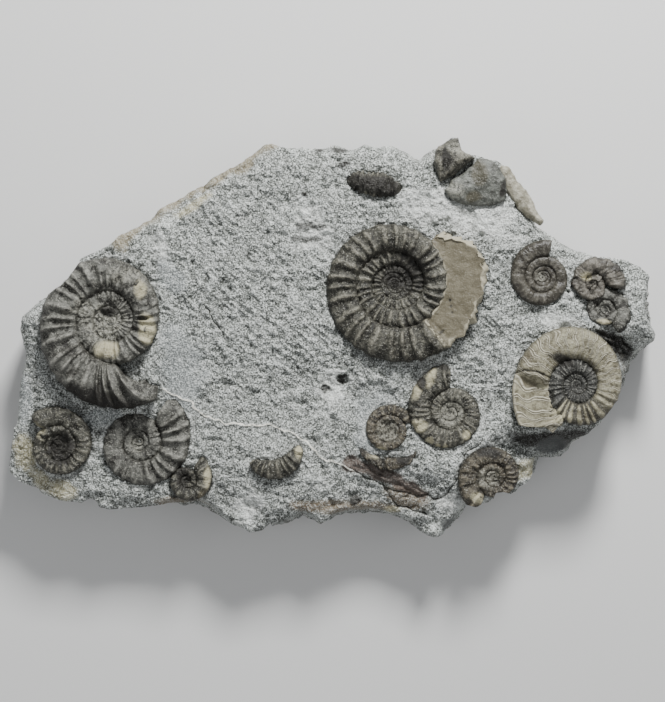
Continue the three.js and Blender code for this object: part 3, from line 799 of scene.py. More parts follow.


# Areas of other colour on the shells, some of the dark ones painted shadow, and areas worn smooth: column,
# row, reach along and across, turn
SHELL_CREAM = (
    (106, 352, 19, 11, 5), (150, 330, 9, 19, 5), (142, 290, 7, 12, 0), (38, 428, 17, 10, -35),
    (419, 425, 8, 7, 0), (378, 452, 12, 7, 0), (431, 376, 5, 13, -20), (415, 390, 6, 10, -15),
    (429, 441, 4, 4, 0), (437, 446, 3, 3, 0), (445, 447, 3, 3, 0), (466, 435, 4, 5, 0),
    (477, 497, 8, 5, -30), (585, 277, 7, 6, 0), (604, 322, 9, 3, -10), (299, 452, 5, 8, 0),
    (208, 474, 4, 16, 0),
    (555, 395, 8, 18, 0), (565, 419, 16, 8, 0))
SHELL_TAN = ((478, 173, 9, 15, 0), (472, 198, 10, 7, 0), (530, 386, 5, 5, 0), (526, 358, 12, 6, 60),
             (203, 494, 8, 6, 40))
SHELL_PALE = (
    (98, 322, 30, 28, -20), (388, 430.5, 12, 12, 0), (450, 412, 15, 15, 0), (489, 477, 14, 14, 0),
    (541, 277, 7, 7, 0), (578, 391, 6, 6, 0), (455, 148, 10, 6, 0), (453, 190, 16, 14, 0),
    (137, 444, 12, 14, 0), (130, 275, 24, 10, 0))
# Dark areas: dark shell, with painted shadow in the middle of the centre shell and along the lower edge of
# the left large shell
SHELL_DARK_AND_SHADOWED = (
    (402, 274, 27, 24, 0), (64, 449, 16, 18, 0), (443, 367, 9, 7, 0), (421, 383, 6, 7, 0),
    (100, 397, 50, 11, -10), (374, 185, 38, 13, -10), (446, 163, 6, 14, 10), (183, 480, 13, 22, 0),
    (615, 268, 14, 6, 0), (404, 458, 12, 8, 0), (560, 360, 16, 7, -25), (488, 452, 26, 7, 0),
    (110, 311, 9, 6, 0), (144, 318, 6, 3, 0), (137, 328, 5, 3, 0), (85, 395, 30, 9, -25),
    (502, 190, 4, 14, -15))
SHELL_WORN = (
    (97, 318, 34, 34, 0), (118, 268, 30, 14, 0), (122, 445, 30, 34, 0), (135, 440, 26, 22, 0),
    (62, 430, 36, 30, 0), (450, 412, 14, 14, 0), (487, 476, 18, 18, 0), (560, 290, 14, 16, 0),
    (420, 385, 20, 16, 0), (389, 430, 12, 12, 0), (143, 300, 14, 20, 0))
# Cracks are sunk into the shells and darkened with painted shade
SHELL_CRACKS = (
    ((511, 374), (522, 370), (534, 371), (547, 377)),
    ((549, 382), (548, 390), (550, 402), (549, 420)),
    ((430, 350), (438, 336), (452, 318), (449, 300)),
)
SHELL_LUMPS = ((556, 396, 8, 20, 0), (566, 419, 16, 8, 0))
PAINTED_AREAS = {"cream": SHELL_CREAM, "tan": SHELL_TAN, "pale": SHELL_PALE, "dark": SHELL_DARK_AND_SHADOWED}
WEAR_DEPTH = 0.24 * MM
CRACK_WIDTH = 0.32 * MM


def paint_shell(mesh, seed):
    """Paint the areas of other colour on a shell, some of them painted shadow."""
    points = vertex_points(mesh)[:, :2]
    for name, areas in PAINTED_AREAS.items():
        paint(mesh, name, area_share(points, areas, seed))


def shaken(points, size, seed, noise=fractal_noise):
    """A different noise for each of the two directions of the face."""
    return np.column_stack([noise(points, size, seed + axis) for axis in (0, 1)])


def weather(mesh, seed, depth=WEAR_DEPTH, ragged=0.0, sunk=0.0):
    """Wear the ribs away in places, and roughen the rest of the upper side."""
    points = vertex_points(mesh)
    flat = points[:, :2]
    worn = area_share(flat, SHELL_WORN, seed + 60)
    upper = smooth_step(attribute_values(mesh, "upward"), -0.2, 0.4)
    rough = fractal_noise(flat, 3.2 * MM, seed + 70, 3, 0.6)
    rough += 0.7 * (ridges(flat, 1.7 * MM, seed + 80) - 0.75)
    rough += 0.55 * chips(flat, 1.3 * MM, seed + 85) + 8 * ragged * chips(flat, 3.8 * MM, seed + 84)
    rough *= 1 - 0.65 * attribute_values(mesh, "floor")
    crack = np.min([line_distance(flat, line) for line in SHELL_CRACKS], axis=0)
    cracked = np.exp(-(crack / CRACK_WIDTH) ** 2)
    points[:, 2] += upper * (depth * rough * (1 + worn) - worn * attribute_values(mesh, "ribbing"))
    points[:, 2] += upper * MM * (0.7 * area_share(flat, SHELL_LUMPS, seed + 61) - 0.6 * cracked)
    torn = shaken(flat, 2.4 * MM, seed + 86, chips) + shaken(flat, 3 * MM, seed + 88)
    points[:, :2] += ragged * MM * torn
    points[:, 2] -= sunk * MM * smooth_step(attribute_values(mesh, "turn"), 0.9, 2.6)
    mesh.vertices.foreach_set("co", within_rim(points).astype(np.float32).ravel())
    mesh.update()
    # The ribs, where not worn, and the relief with the cracks sunk deep are kept for the material, which
    # paints a highlight on the rib backs and shade where the relief is low
    paint(mesh, "rib", attribute_values(mesh, "rib") * (1 - worn))
    paint(mesh, "rough", rough - 3 * cracked)


# Columns along a shell and points around its whorl, for large shells, small ones and single pieces
LARGE_REACH = 60
LARGE_GRID = (1150, 34)
SMALL_GRID = (620, 26)
PIECE_COLUMNS = 260


def make_shell(name, shell, settings):
    """A whole shell at its place on the face."""
    columns, around = LARGE_GRID if shell["reach"] > LARGE_REACH else SMALL_GRID
    mesh = coiled_mesh(name, finish_material(shell["finish"], settings), {
        "Columns": int(columns * settings.detail),
        "Around": around,
        "Turns": math.log(2 * shell["reach"]) / math.log(shell["growth"]),
        "End Angle": math.radians(shell["end"]),
        "Hand": float(shell["hand"]),
        "Reach": shell["reach"] * PIXEL,
        "Growth": float(shell["growth"]),
        "Inner Share": 0.93 / shell["growth"],
        "Ribs": float(shell["ribs"]),
        "Rib Relief": float(shell["relief"]),
        "Rib Bend": float(shell["bend"]),
        "Smooth Turns": shell.get("smooth", shell.get("chamber", -0.1)),
        "Chamber Turns": shell.get("chamber", 0.0),
        "Broken": shell.get("broken", 0.0),
        "Mouth Rounding": shell.get("blunt", 0.03),
        "Mouth Skew": shell.get("skew", 0.0),
        "Wear": settings.wear,
        "Seed": float(shell["seed"]),
    })
    pole = at(shell["pole"])
    points = vertex_points(mesh)
    points[:, :2] = points[:, :2] * shell.get("stretch", (1, 1)) + pole
    mesh.vertices.foreach_set("co", points.astype(np.float32).ravel())
    seat_on_model(mesh, name, pole)
    weather(mesh, shell["seed"], WEAR_DEPTH * shell.get("wear", 1), shell.get("ragged", 0.0),
            shell.get("sunk", 0.4))
    paint_shell(mesh, shell["seed"])
    return mesh


def make_whorl_piece(name, piece, settings):
    """A curved piece of one whorl, drawn out to a point at both ends."""
    inner, outer = piece["radii"]
    first, last = piece["angles"]
    turns = (last - first) / 360
    mesh = coiled_mesh(name, finish_material(piece["finish"], settings), {
        "Columns": PIECE_COLUMNS, "Around": 26, "Turns": turns, "Crowding": 0.0,
        "End Angle": math.radians(last), "Reach": outer * PIXEL, "Growth": 1.0,
        "Inner Share": inner / outer, "Ribs": piece["ribs"] / turns,
        "Rib Relief": 0.12, "Rib Bend": 0.2, "Smooth Turns": -0.1, "Wear": settings.wear, "Tapering": 1.0,
        "Mouth Depth": 0.0, "Seed": float(piece["seed"])})
    pole = at(piece["pole"])
    points = vertex_points(mesh)
    points[:, :2] += pole
    mesh.vertices.foreach_set("co", points.astype(np.float32).ravel())
    seat_on_model(mesh, name, pole)
    weather(mesh, piece["seed"], ragged=piece.get("ragged", 0.0))
    paint_shell(mesh, piece["seed"])
    return mesh


def make_edge_on_shell(name, shell, settings):
    """A shell seen edge on: an arc of ribbed whorl that stands upright in the rock."""
    half_length, half_width = (reach * PIXEL for reach in shell["reach"])
    rise = shell["rise"] * MM
    radius = (half_length ** 2 + rise ** 2) / (2 * rise)
    half_angle = math.asin(min(1, half_length / radius))
    inner_share = 0.62
    whorl = radius * (1 - inner_share)
    mesh = coiled_mesh(name, finish_material(shell["finish"], settings), {
        "Columns": PIECE_COLUMNS, "Around": 30, "Turns": half_angle / math.pi, "Crowding": 0.0,
        "End Angle": math.pi / 2 + half_angle, "Reach": radius, "Growth": 1.0, "Inner Share": inner_share,
        "Height Share": half_width / whorl, "Ribs": shell["ribs"] * math.pi / half_angle,
        "Rib Relief": 0.06, "Rib Bend": 0.0, "Smooth Turns": -0.1, "Wear": settings.wear, "Tapering": 1.0,
        "Tip Sharpness": 0.65, "Mouth Depth": 0.0, "Seed": float(shell["seed"])})
    points = vertex_points(mesh)
    upright = np.column_stack([points[:, 0], -points[:, 2], points[:, 1] - radius])
    upright[:, :2] = turned(upright[:, :2], -shell["turn"]) + at(shell["place"])
    upright[:, 2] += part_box(name)[1].z + 0.45 * MM * chips(upright[:, :2], 1.7 * MM, shell["seed"])
    upright[:, :2] += 0.5 * MM * fractal_noise(upright[:, :2], 1.6 * MM, shell["seed"] + 1)[:, None]
    mesh.vertices.foreach_set("co", upright.astype(np.float32).ravel())
    mesh.update()
    paint(mesh, "rough", fractal_noise(upright, 2 * MM, shell["seed"]))
    paint_shell(mesh, shell["seed"])
    return mesh


# Pieces at the top rim

FOLDS = 8
FOLD_CREST = math.radians(52)
FOLD_RELIEF = 1.3 * MM
OUTLINE_POINTS = 200
PIECE_STEP = 0.32 * MM
PIECE_DEPTH = 1.6 * MM


def rounded_loop(outline, count, rounds):
    """Places of an outline as an even loop with its corners eased."""
    loop = even_loop(np.array([at(place) for place in outline]), count)
    for _ in range(rounds):
        loop = (np.roll(loop, 1, axis=0) + 2 * loop + np.roll(loop, -1, axis=0)) / 4
    return loop


def make_fragment(name, piece):
    """A low-backed piece with a level underside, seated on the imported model's."""
    count = OUTLINE_POINTS
    loop = rounded_loop(piece["outline"], count, 3)
    ragged = [fractal_noise(loop, 2 * MM, piece["seed"] + shift) for shift in (0, 50)]
    loop += 0.25 * MM * np.column_stack(ragged)
    points, faces = filled_loop(loop, PIECE_STEP, piece["seed"])
    edge = loop_distance(points, loop)
    share = edge / edge.max()
    back = np.sqrt(share * (2 - share))
    rise = piece["rise"] * MM * back
    relief = 0.2 * MM * fractal_noise(points, 2.5 * MM, piece["seed"] + 3)
    rib = np.zeros(len(points))
    if "hinge" in piece:
        hinge = at(piece["hinge"])
        spoke = np.arctan2(points[:, 1] - hinge[1], points[:, 0] - hinge[0])
        rib = 0.5 + 0.5 * np.cos((spoke - FOLD_CREST) * FOLDS)
        relief += FOLD_RELIEF * (rib - 0.6) * back
    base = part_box(name)[1].z - piece["rise"] * MM
    top = base + rise + relief * smooth_step(edge, 0, 0.6 * MM)
    total = len(points)
    after = [(index + 1) % count for index in range(count)]
    walls = [[index, after[index], total + after[index], total + index] for index in range(count)]
    floor = [[total + index for index in reversed(face)] for face in faces]
    under = np.full(total, base - PIECE_DEPTH)
    solid = np.vstack([np.column_stack([points, top]), np.column_stack([points, under])])
    thing = mesh_object(name, solid, [*faces, *walls, *floor])
    mesh = thing.data
    bpy.data.objects.remove(thing)
    for label, values in (("rib", rib), ("outward", np.zeros(total)), ("turn", np.zeros(total)),
                          ("floor", np.zeros(total))):
        paint(mesh, label, np.concatenate([values, values]))
    paint(mesh, "rough", fractal_noise(np.vstack([points, points]), 2 * MM, piece["seed"]))
    paint_shell(mesh, piece["seed"])
    return mesh


# The rock

RIM_STEPS = 820
WALL_ROWS = 22
UNDERSIDE_STEP = 1.8 * MM
UNDERSIDE_UNEVEN = 0.35 * MM
MOAT_DEPTH = 0.3 * MM
BED_DEPTH = 2.6 * MM
RIM_FALL = 0.7 * MM


def rim_angles(tree):
    """Directions from the heart that divide the rim evenly."""
    fine = np.linspace(0, TAU, 1440, endpoint=False)
    reach = np.array([cast_in(tree, angle, WALL_LEVELS[-1]) for angle in fine])
    loop = HEART + np.column_stack([reach * np.cos(fine), reach * np.sin(fine)])
    even = even_loop(loop, RIM_STEPS) - HEART
    return np.arctan2(even[:, 1], even[:, 0])


def face_relief(points, zones):
    """Fine relief of the rock face, in metres, and how deep each point lies among its neighbours, which the
    material paints as shade in the hollows.
    """
    swayed = points + 0.35 * MM * shaken(points, 2 * MM, 27)
    lumps = 0.42 * fractal_noise(points, 6 * MM, 21, 2) + 0.26 * (ridges(points, 2.6 * MM, 22) - 0.7)
    broken = 0.3 * chips(swayed, 3.4 * MM, 26) + 0.2 * chips(swayed, 1.5 * MM, 29)
    grain = 0.27 * fractal_noise(points, 0.95 * MM, 23, 2, 0.6)
    slanted = turned(points, -38, 3.5)
    scratches = 0.5 * (ridges(slanted, 1.3 * MM, 24) ** 2 - 0.4) * zones["scratched"]
    strands = turned(points, -28, 5)
    splinters = 0.9 * (ridges(strands, 1.2 * MM, 28) - 0.7) * np.maximum(zones["dark"], zones["red"])
    pits = -0.7 * smooth_step(lattice_noise(points / (2.6 * MM), 25), 0.55, 0.85) - 0.9 * zones["pit"]
    pits += 0.5 * zones["rim"]
    rough = 1 - 0.7 * zones["smooth"]
    vein = np.exp(-(zones["vein"] / 0.4) ** 2)
    crevice = np.exp(-(zones["crevice"] / 0.45) ** 2)
    relief = rough * (lumps + broken + grain + scratches + splinters + pits) + 0.3 * vein - 0.6 * crevice
    relief -= 0.55 * zones["hollow"]
    depth = (grain / 0.22 + 0.6 * lumps + 1.4 * broken + scratches + splinters) * rough
    return MM * relief, depth - 1.2 * crevice - 2.0 * zones["pit"]


# Zones that hold a distance in millimetres, cut off at the far value
LINE_ZONES = ("crevice", "crevice_side", "vein", "vein_side")
FAR = 3.0


def face_zones(points):
    """Share of each kind of surface at the points of the face."""
    sway = [fractal_noise(points, 3 * MM, seed) for seed in (31, 55)]
    swayed = points + 0.6 * MM * np.column_stack(sway)
    vein, vein_side = line_sides(swayed, [CALCITE_VEIN])
    crevice, crevice_side = line_sides(swayed, CREVICES)
    stripe = np.min([line_distance(swayed, line) for line in STRIPES], axis=0)
    stripe = 1 - smooth_step(stripe, 0.5 * MM, 1.2 * MM)
    pit = area_share(points, PITS, 38, 0.8)
    rims = [(column, row, along + 5, across + 4, turn) for column, row, along, across, turn in PITS]
    rim = area_share(points, rims, 39, 0.5)
    glossy = area_share(points, GLOSSY_AREAS, 50, 0.15, 0.3)
    red = line_distance(points, RED_LEDGE) + 0.8 * MM * fractal_noise(points, 3 * MM, 40)
    band = line_distance(points, RIM_BAND) + 1.2 * MM * fractal_noise(points, 4 * MM, 53)
    return {
        "pit": pit,
        "rim": rim * (1 - pit),
        "band": 1 - smooth_step(band, 1.2 * MM, 3.2 * MM),
        "crevice": np.minimum(crevice / MM, FAR),
        "crevice_side": np.clip(crevice_side / MM, -FAR, FAR),
        "vein": np.minimum(vein / MM, FAR),
        "vein_side": np.clip(vein_side / MM, -FAR, FAR),
        "red": 1 - smooth_step(red, 1.3 * MM, 2.3 * MM),
        "white": np.maximum(area_share(points, WHITE_AREAS, 32), rim * (1 - pit)),
        "cream": area_share(points, CREAM_AREAS, 33),
        "dark": np.maximum(area_share(points, DARK_AND_SHADOWED_AREAS, 34), 0.85 * stripe),
        "glossy": glossy,
        "brown": area_share(points, BROWN_AREAS, 35),
        "smooth": np.maximum(area_share(points, BLUE_AREAS + HOLLOWS, 36), glossy),
        "scratched": area_share(points, SCRATCHED_AREAS, 37),
        "hollow": area_share(points, HOLLOWS, 54, 0.1, 0.07),
    }


def rock_face(settings, rim):
    """Points, levels, faces and zones of the rock face inside its rim."""
    face = FaceMap()
    points, faces = filled_loop(rim, settings.grain_step, 42)
    zones = face_zones(points)
    relief, cavity_shade_and_mottle = face_relief(points, zones)
    cover = face.sample(face.cover, points)
    edge = loop_distance(points, rim)
    moat = MOAT_DEPTH * np.exp(-((cover - 0.4) / 0.2) ** 2)
    bed = BED_DEPTH * smooth_step(cover, 0.6, 0.95)
    fall = RIM_FALL * (1 - smooth_step(edge, 0, 1.0 * MM))
    levels = face.sample(face.level, points) + settings.relief * relief * (1 - smooth_step(cover, 0.5, 0.8))
    levels -= moat + bed + fall
    # Painted shade: the depth value is lowered in a ring where the rock meets the shells, so the material
    # darkens it there
    zones["cavity_shade_and_mottle"] = cavity_shade_and_mottle - 0.9 * np.exp(-((cover - 0.5) / 0.18) ** 2)
    halo = np.exp(-((cover - 0.2) / 0.13) ** 2)
    halo *= smooth_step(fractal_noise(points, 9 * MM, 51, 2), -0.05, 0.3)
    zones["white"] = np.maximum(zones["white"], 0.9 * halo)
    return points, levels, faces, zones


def rock_side(rim_levels, angles, reach):
    """Rows of points on the sides, from below the rim down to the foot."""
    ways = np.column_stack([np.cos(angles), np.sin(angles)])
    rows = []
    for row in range(1, WALL_ROWS + 1):
        share = 1 - row / WALL_ROWS
        level = rim_levels * share
        distance = np.array([np.interp(level[index], WALL_LEVELS, reach[:, index])
                             for index in range(RIM_STEPS)])
        place = HEART + ways * distance[:, None]
        spots = np.column_stack([place, level])
        around = np.column_stack([angles * reach[-1], level])
        bedding = ridges(spots / np.array([9, 9, 1.3]), MM, 43) - 0.75
        rough = 0.9 * bedding + 0.5 * fractal_noise(spots, 4 * MM, 44)
        rough += 0.25 * fractal_noise(spots, 1.2 * MM, 45) + 0.45 * chips(around, 4 * MM, 49)
        rough *= MM * min(1, 4 * share, 4 * (1 - share) + 0.2)
        rows.append(np.column_stack([place + ways * rough[:, None], level]))
    return rows


def rock_points(settings):
    """Points and faces of the rock, and the values the material reads."""
    tree = cad_tree("rock")
    angles = rim_angles(tree)
    reach = np.array([[cast_in(tree, angle, level) for angle in angles] for level in WALL_LEVELS])
    ways = np.column_stack([np.cos(angles), np.sin(angles)])
    rim = HEART + ways * reach[-1][:, None]
    ragged = 0.35 * fractal_noise(rim, 2.2 * MM, 41) + 0.25 * chips(rim, 3 * MM, 52)
    rim += MM * ways * ragged[:, None]
    points, levels, faces, zones = rock_face(settings, rim)
    rows = rock_side(levels[:RIM_STEPS], angles, reach)
    floor, floor_faces = filled_loop(rows[-1][:, :2], UNDERSIDE_STEP, 46)
    floor_levels = UNDERSIDE_UNEVEN * np.clip(1 + fractal_noise(floor, 7 * MM, 47), 0, 2)
    floor_levels -= floor_levels.min()

    face_count = len(points)
    ring_starts = [0] + [face_count + index * RIM_STEPS for index in range(WALL_ROWS)]
    everything = np.vstack([
        np.column_stack([points, levels]), *rows[:-1], np.column_stack([floor, floor_levels])])
    for upper, lower in zip(ring_starts, ring_starts[1:]):
        for index in range(RIM_STEPS):
            after = (index + 1) % RIM_STEPS
            faces.append([upper + index, lower + index, lower + after, upper + after])
    faces.extend([ring_starts[-1] + index for index in reversed(corner)] for corner in floor_faces)

    values = {}
    for name, share in zones.items():
        values[name] = np.full(len(everything), FAR if name in LINE_ZONES else 0.0)
        values[name][:face_count] = share
    values["side"] = np.zeros(len(everything))
    values["side"][face_count:] = 1
    # On the sides the same value is plain noise, which darkens random patches
    values["cavity_shade_and_mottle"][face_count:] = 1.4 * fractal_noise(everything[face_count:], 1.5 * MM, 48)
    return everything, faces, values


# Materials

def new_material(name):
    material = bpy.data.materials.new(name)
    material.use_nodes = True
    tree = material.node_tree
    shader = tree.nodes["Principled BSDF"]
    shader.inputs["Specular IOR Level"].default_value = 0.35
    return material, tree, shader


def object_place(tree):
    return Field(tree, tree.nodes.new("ShaderNodeTexCoord").outputs["Object"])


def noise_field(tree, place, size, detail=2.0, roughness=0.5, shift=0.0):
    """Noise from 0 to 1 with waves of the given size."""
    if shift:
        moved = add_node(tree, "ShaderNodeVectorMath", {0: place, 1: (shift, 0, 0)}, operation="ADD")
        place = Field(tree, moved.outputs[0])
    node = add_node(tree, "ShaderNodeTexNoise", {
        "Vector": place, "Scale": 1 / size, "Detail": detail, "Roughness": roughness})
    return Field(tree, node.outputs[0])


def painted(tree, name):
    """A number that was painted on the mesh."""
    return Field(tree, add_node(tree, "ShaderNodeAttribute", attribute_name=name).outputs["Fac"])


def bumped(tree, shader, height, distance, strength=1.0):
    node = add_node(tree, "ShaderNodeBump", {"Height": height, "Strength": strength, "Distance": distance})
    tree.links.new(node.outputs[0], shader.inputs["Normal"])


def thin_line(tree, name, width):
    """Share of a line of the given width, in millimetres, from the painted distance and side."""
    middle = painted(tree, name + "_side").absolute().step(0.35 * width, 0.75 * width, 1, 0)
    return middle * painted(tree, name).step(0.7, 1.2, 1, 0)


def layered(tree, colour, layers):
    """A colour with others laid over it in turn, each by its share."""
    for share, tint in layers:
        colour = mixed(tree, share, colour, tint)
    return colour


CREVICE_WIDTH = 0.3
VEIN_WIDTH = 0.36


def rock_material(settings):
    """Grey limestone: white and dark grains, with the painted zones over them and painted shade in hollows,
    pits and crevices.
    """
    material, tree, shader = new_material("Grey limestone")
    place = object_place(tree)
    mottle = noise_field(tree, place, 5 * MM, 3)
    blotch = noise_field(tree, place, 1.7 * MM, 3, 0.6, shift=0.7)
    grains = noise_field(tree, place, 0.42 * MM, 2, 0.55, shift=0.3)
    fine = noise_field(tree, place, 0.35 * MM, 2, 0.6)
    names = ("smooth", "side", "cream", "white", "brown", "band", "red", "dark", "glossy", "cavity_shade_and_mottle")
    zone = {name: painted(tree, name) for name in names}
    quiet = 1 - 0.25 * zone["smooth"]
    # The grains lean darker where the face lies deep: a little painted shade
    depth = grains + zone["cavity_shade_and_mottle"] * 0.035
    light = depth.step(0.5, 0.64) * quiet
    shade = depth.step(0.36, 0.49, 1, 0) * quiet * (1 - 0.45 * zone["white"])
    stone = mixed(tree, mottle.step(0.3, 0.7), tuple(settings.stone), tuple(settings.stone_light))
    colour = layered(tree, stone, (
        (zone["smooth"] * 0.6, tone(136, 141, 142)),
        (zone["side"] * mottle.step(0.35, 0.6) * 0.55, tone(110, 106, 96)),
        (zone["cream"] * 0.8, tone(176, 171, 146)),
        (zone["white"] * mottle.step(0.2, 0.45) * 0.85, tone(208, 210, 205)),
        (blotch.step(0.52, 0.68) * 0.5 * quiet, tone(206, 209, 205)),
        (blotch.step(0.3, 0.46, 1, 0) * 0.5 * quiet, tone(92, 94, 89)),
        (light * 0.74, tone(230, 234, 230)),
        (shade * 0.84, tone(52, 54, 50)),
        (zone["cream"] * mottle.step(0.25, 0.5, 0.15, 0.45), tone(168, 162, 130)),
        (zone["brown"] * grains.step(0.3, 0.6, 0.9, 0.5), tone(112, 98, 78)),
        (zone["band"] * grains.step(0.3, 0.6, 0.85, 0.6), tone(142, 132, 108)),
        (zone["red"] * grains.step(0.3, 0.6, 0.95, 0.85), tone(88, 77, 70)),
        # Dark zone: dark-brown lumps and stripes, with painted shadow on the low ledge and in the notch
        (zone["dark"] * grains.step(0.35, 0.65, 1, 0.84), tone(36, 34, 30)),
        # Painted shade: deep hollows, pits, crevices and the ring round the shells are darkened
        (zone["cavity_shade_and_mottle"].step(-2.6, -0.9, 0.85, 0), tone(42, 40, 36)),
        (zone["glossy"] * 0.9, tone(82, 84, 82)),
        # Painted shade along the crevices
        (thin_line(tree, "crevice", CREVICE_WIDTH) * mottle.step(0.3, 0.5, 0.4, 0.9), tone(44, 42, 37)),
        (thin_line(tree, "vein", VEIN_WIDTH) * mottle.step(0.2, 0.45, 0.7, 1), tone(232, 230, 218)),
    ))
    tree.links.new(colour.socket, shader.inputs["Base Color"])
    tree.links.new((0.85 - 0.4 * zone["glossy"]).socket, shader.inputs["Roughness"])
    bumped(tree, shader, (grains * 0.6 + fine * 0.4) * quiet, 0.6 * MM)
    return material


def shell_material(title, cream, crest, body, groove, rough=0.5, inner=None, speckle=0.6, bump=0.75 * MM,
                   tans=(tone(95, 89, 72), tone(112, 106, 88))):
    """Fossil shell: a painted highlight on the rib backs, dark grooves, painted shade along the seams and in
    pits and cracks, cream and tan patches.
    """
    material, tree, shader = new_material(title)
    place = object_place(tree)
    stain = noise_field(tree, place, 2.2 * MM, 3, 0.6)
    fleck = noise_field(tree, place, 0.42 * MM, 2, 0.6, shift=0.2)
    crust = noise_field(tree, place, 0.85 * MM, 3, 0.65, shift=0.1)
    names = ("rib", "rough", "turn", "outward", "floor", "tan", "pale", "cream", "dark")
    rib, uneven, turn, outward, chamber, tan, pale, patch, dark = (painted(tree, name) for name in names)
    if inner is None:
        tan = tan.math("MAXIMUM", chamber)
    start = (chamber * (1 - chamber) * 4).step(0.75, 1)
    rim = (outward.absolute().step(0.83, 0.93) * chamber).math("MAXIMUM", start * crust.step(0.4, 0.6))
    # Groove and body tones by a stain, leaning a little to the groove tone where the surface lies low, as
    # painted shade
    base = mixed(tree, (stain + uneven * 0.08).step(0.36, 0.62), groove, body)
    colour = layered(tree, base, (
        # Painted highlight on the backs of the ribs
        (rib.step(0.3, 0.95) * stain.step(0.35, 0.65, 0.1, 0.75), crest),
        (pale * crust.step(0.36, 0.6) * 0.75, tone(150, 149, 137)),
        (crust.step(0.52, 0.7) * 0.5, crest),
        (crust.step(0.3, 0.46, 1, 0) * 0.6, groove),
        (tan * 0.92, mixed(tree, stain.step(0.3, 0.7), *tans)),
        (rim * 0.75, tone(180, 174, 152)),
        (patch * stain.step(0.3, 0.42), cream),
    ))

    # Wavy seams between the chambers, and a dark inner coil
    sutures = 0.0
    if inner:
        wander = noise_field(tree, place, 6 * MM, 1, 0.5, shift=0.5)
        phase = (turn * 36 + wander * 1.8 + (outward * 6).math("SINE") * 0.16) * math.pi
        first = phase.math("SINE").absolute().step(0.05, 0.3, 1, 0)
        second = (phase + 0.7).math("SINE").absolute().step(0.05, 0.26, 0.7, 0)
        sutures = first.math("MAXIMUM", second) * turn.step(0.6, 0.72, 1, 0) * crust.step(0.3, 0.45)
        # Painted highlight on the rib backs of the dark inner coil
        light_ribs = rib.step(0.3, 0.9) * stain.step(0.4, 0.6) * 0.6
        colour = layered(tree, colour, (
            ((phase + 1.9).math("SINE").absolute().step(0.5, 1, 0, 0.4), groove),
            (sutures * 0.8, tone(200, 195, 176)),
            (turn.step(0.66, 0.72) * rib.step(0.1, 0.5, 1, 0) * 0.9, tone(48, 45, 38)),
            (turn.step(0.95, 0.99), mixed(tree, light_ribs, inner, tone(122, 122, 116))),
        ))

    dark = dark * stain.step(0.1, 0.4, 0.5, 0.95)
    calm = 1 - 0.65 * chamber
    colour = layered(tree, colour, (
        # Painted shade along both edges of each whorl, where it meets the whorl inside it and the rock
        (outward.absolute().step(0.78, 0.99) * (1 - chamber) * 0.5, tone(48, 46, 40)),
        # Painted shade in pits and cracks, where the stored relief is low
        (uneven.step(-2.6, -1.2, 0.8, 0), tone(38, 36, 31)),
        (dark, tone(34, 32, 28)),
        (fleck.step(0.56, 0.72) * speckle * (1 - 0.7 * dark) * calm, tone(178, 177, 166)),
        (fleck.step(0.28, 0.42, 1, 0) * speckle * calm, tone(30, 29, 26)),
    ))
    tree.links.new(colour.socket, shader.inputs["Base Color"])
    gloss = stain.step(0.3, 0.7, rough - 0.08, rough + 0.12)
    tree.links.new(gloss.socket, shader.inputs["Roughness"])
    lines = (turn * 420 + outward * 2).math("SINE")
    grit = (crust * 0.7 + fleck * 0.3) * calm
    bumped(tree, shader, stain * 0.4 + grit + lines * 0.012 + sutures * 0.25, bump)
    return material


# Finishes of the shells. The dark one takes its colours from the panel.
FINISHES = {
    "dark": dict(title="Dark shell"),
    "brown": dict(title="Brown shell", crest=tone(122, 115, 98), body=tone(76, 71, 60),
                  groove=tone(38, 34, 28)),
    "drab": dict(title="Drab shell", crest=tone(116, 112, 103), body=tone(82, 78, 71),
                 groove=tone(42, 39, 35), rough=0.42, speckle=0.3, bump=0.4 * MM),
    "grey": dict(title="Grey shell", crest=tone(148, 147, 138), body=tone(98, 98, 92),
                 groove=tone(44, 43, 39)),
    "cream": dict(title="Cream shell", crest=tone(166, 161, 138), body=tone(144, 140, 118),
                  groove=tone(96, 91, 73), inner=tone(50, 50, 47), speckle=0.55),
    "smooth": dict(title="Smooth dark shell", crest=tone(102, 99, 90), body=tone(72, 69, 61),
                   groove=tone(46, 43, 37), rough=0.38, speckle=0.25, bump=0.3 * MM),
    "pale": dict(title="Pale shell", crest=tone(186, 182, 166), body=tone(162, 158, 142),
                 groove=tone(118, 114, 98), speckle=0.35, bump=0.5 * MM),
    "mould": dict(title="Grey mould", crest=tone(136, 139, 132), body=tone(96, 98, 92),
                  groove=tone(62, 63, 58), rough=0.4, speckle=0.3, bump=0.4 * MM,
                  tans=(tone(62, 60, 49), tone(74, 71, 58))),
}


def finish_material(finish, settings):
    """Material of a finish, made when it is first asked for."""
    values = dict(FINISHES[finish], cream=tuple(settings.cream))
    if values["title"] in bpy.data.materials:
        return bpy.data.materials[values["title"]]
    if finish == "dark":
        values.update(
            crest=tuple(settings.crest), body=tuple(settings.body), groove=tuple(settings.groove))
    return shell_material(**values)


def finish_shell(mesh, name, finish, settings):
    """Give a shell its finish and its place in the model."""
    finish_piece(mesh, name, finish_material(finish, settings))


# Settings, operators and panel

COLOUR = dict(subtype="COLOR", size=3, min=0.0, max=1.0)


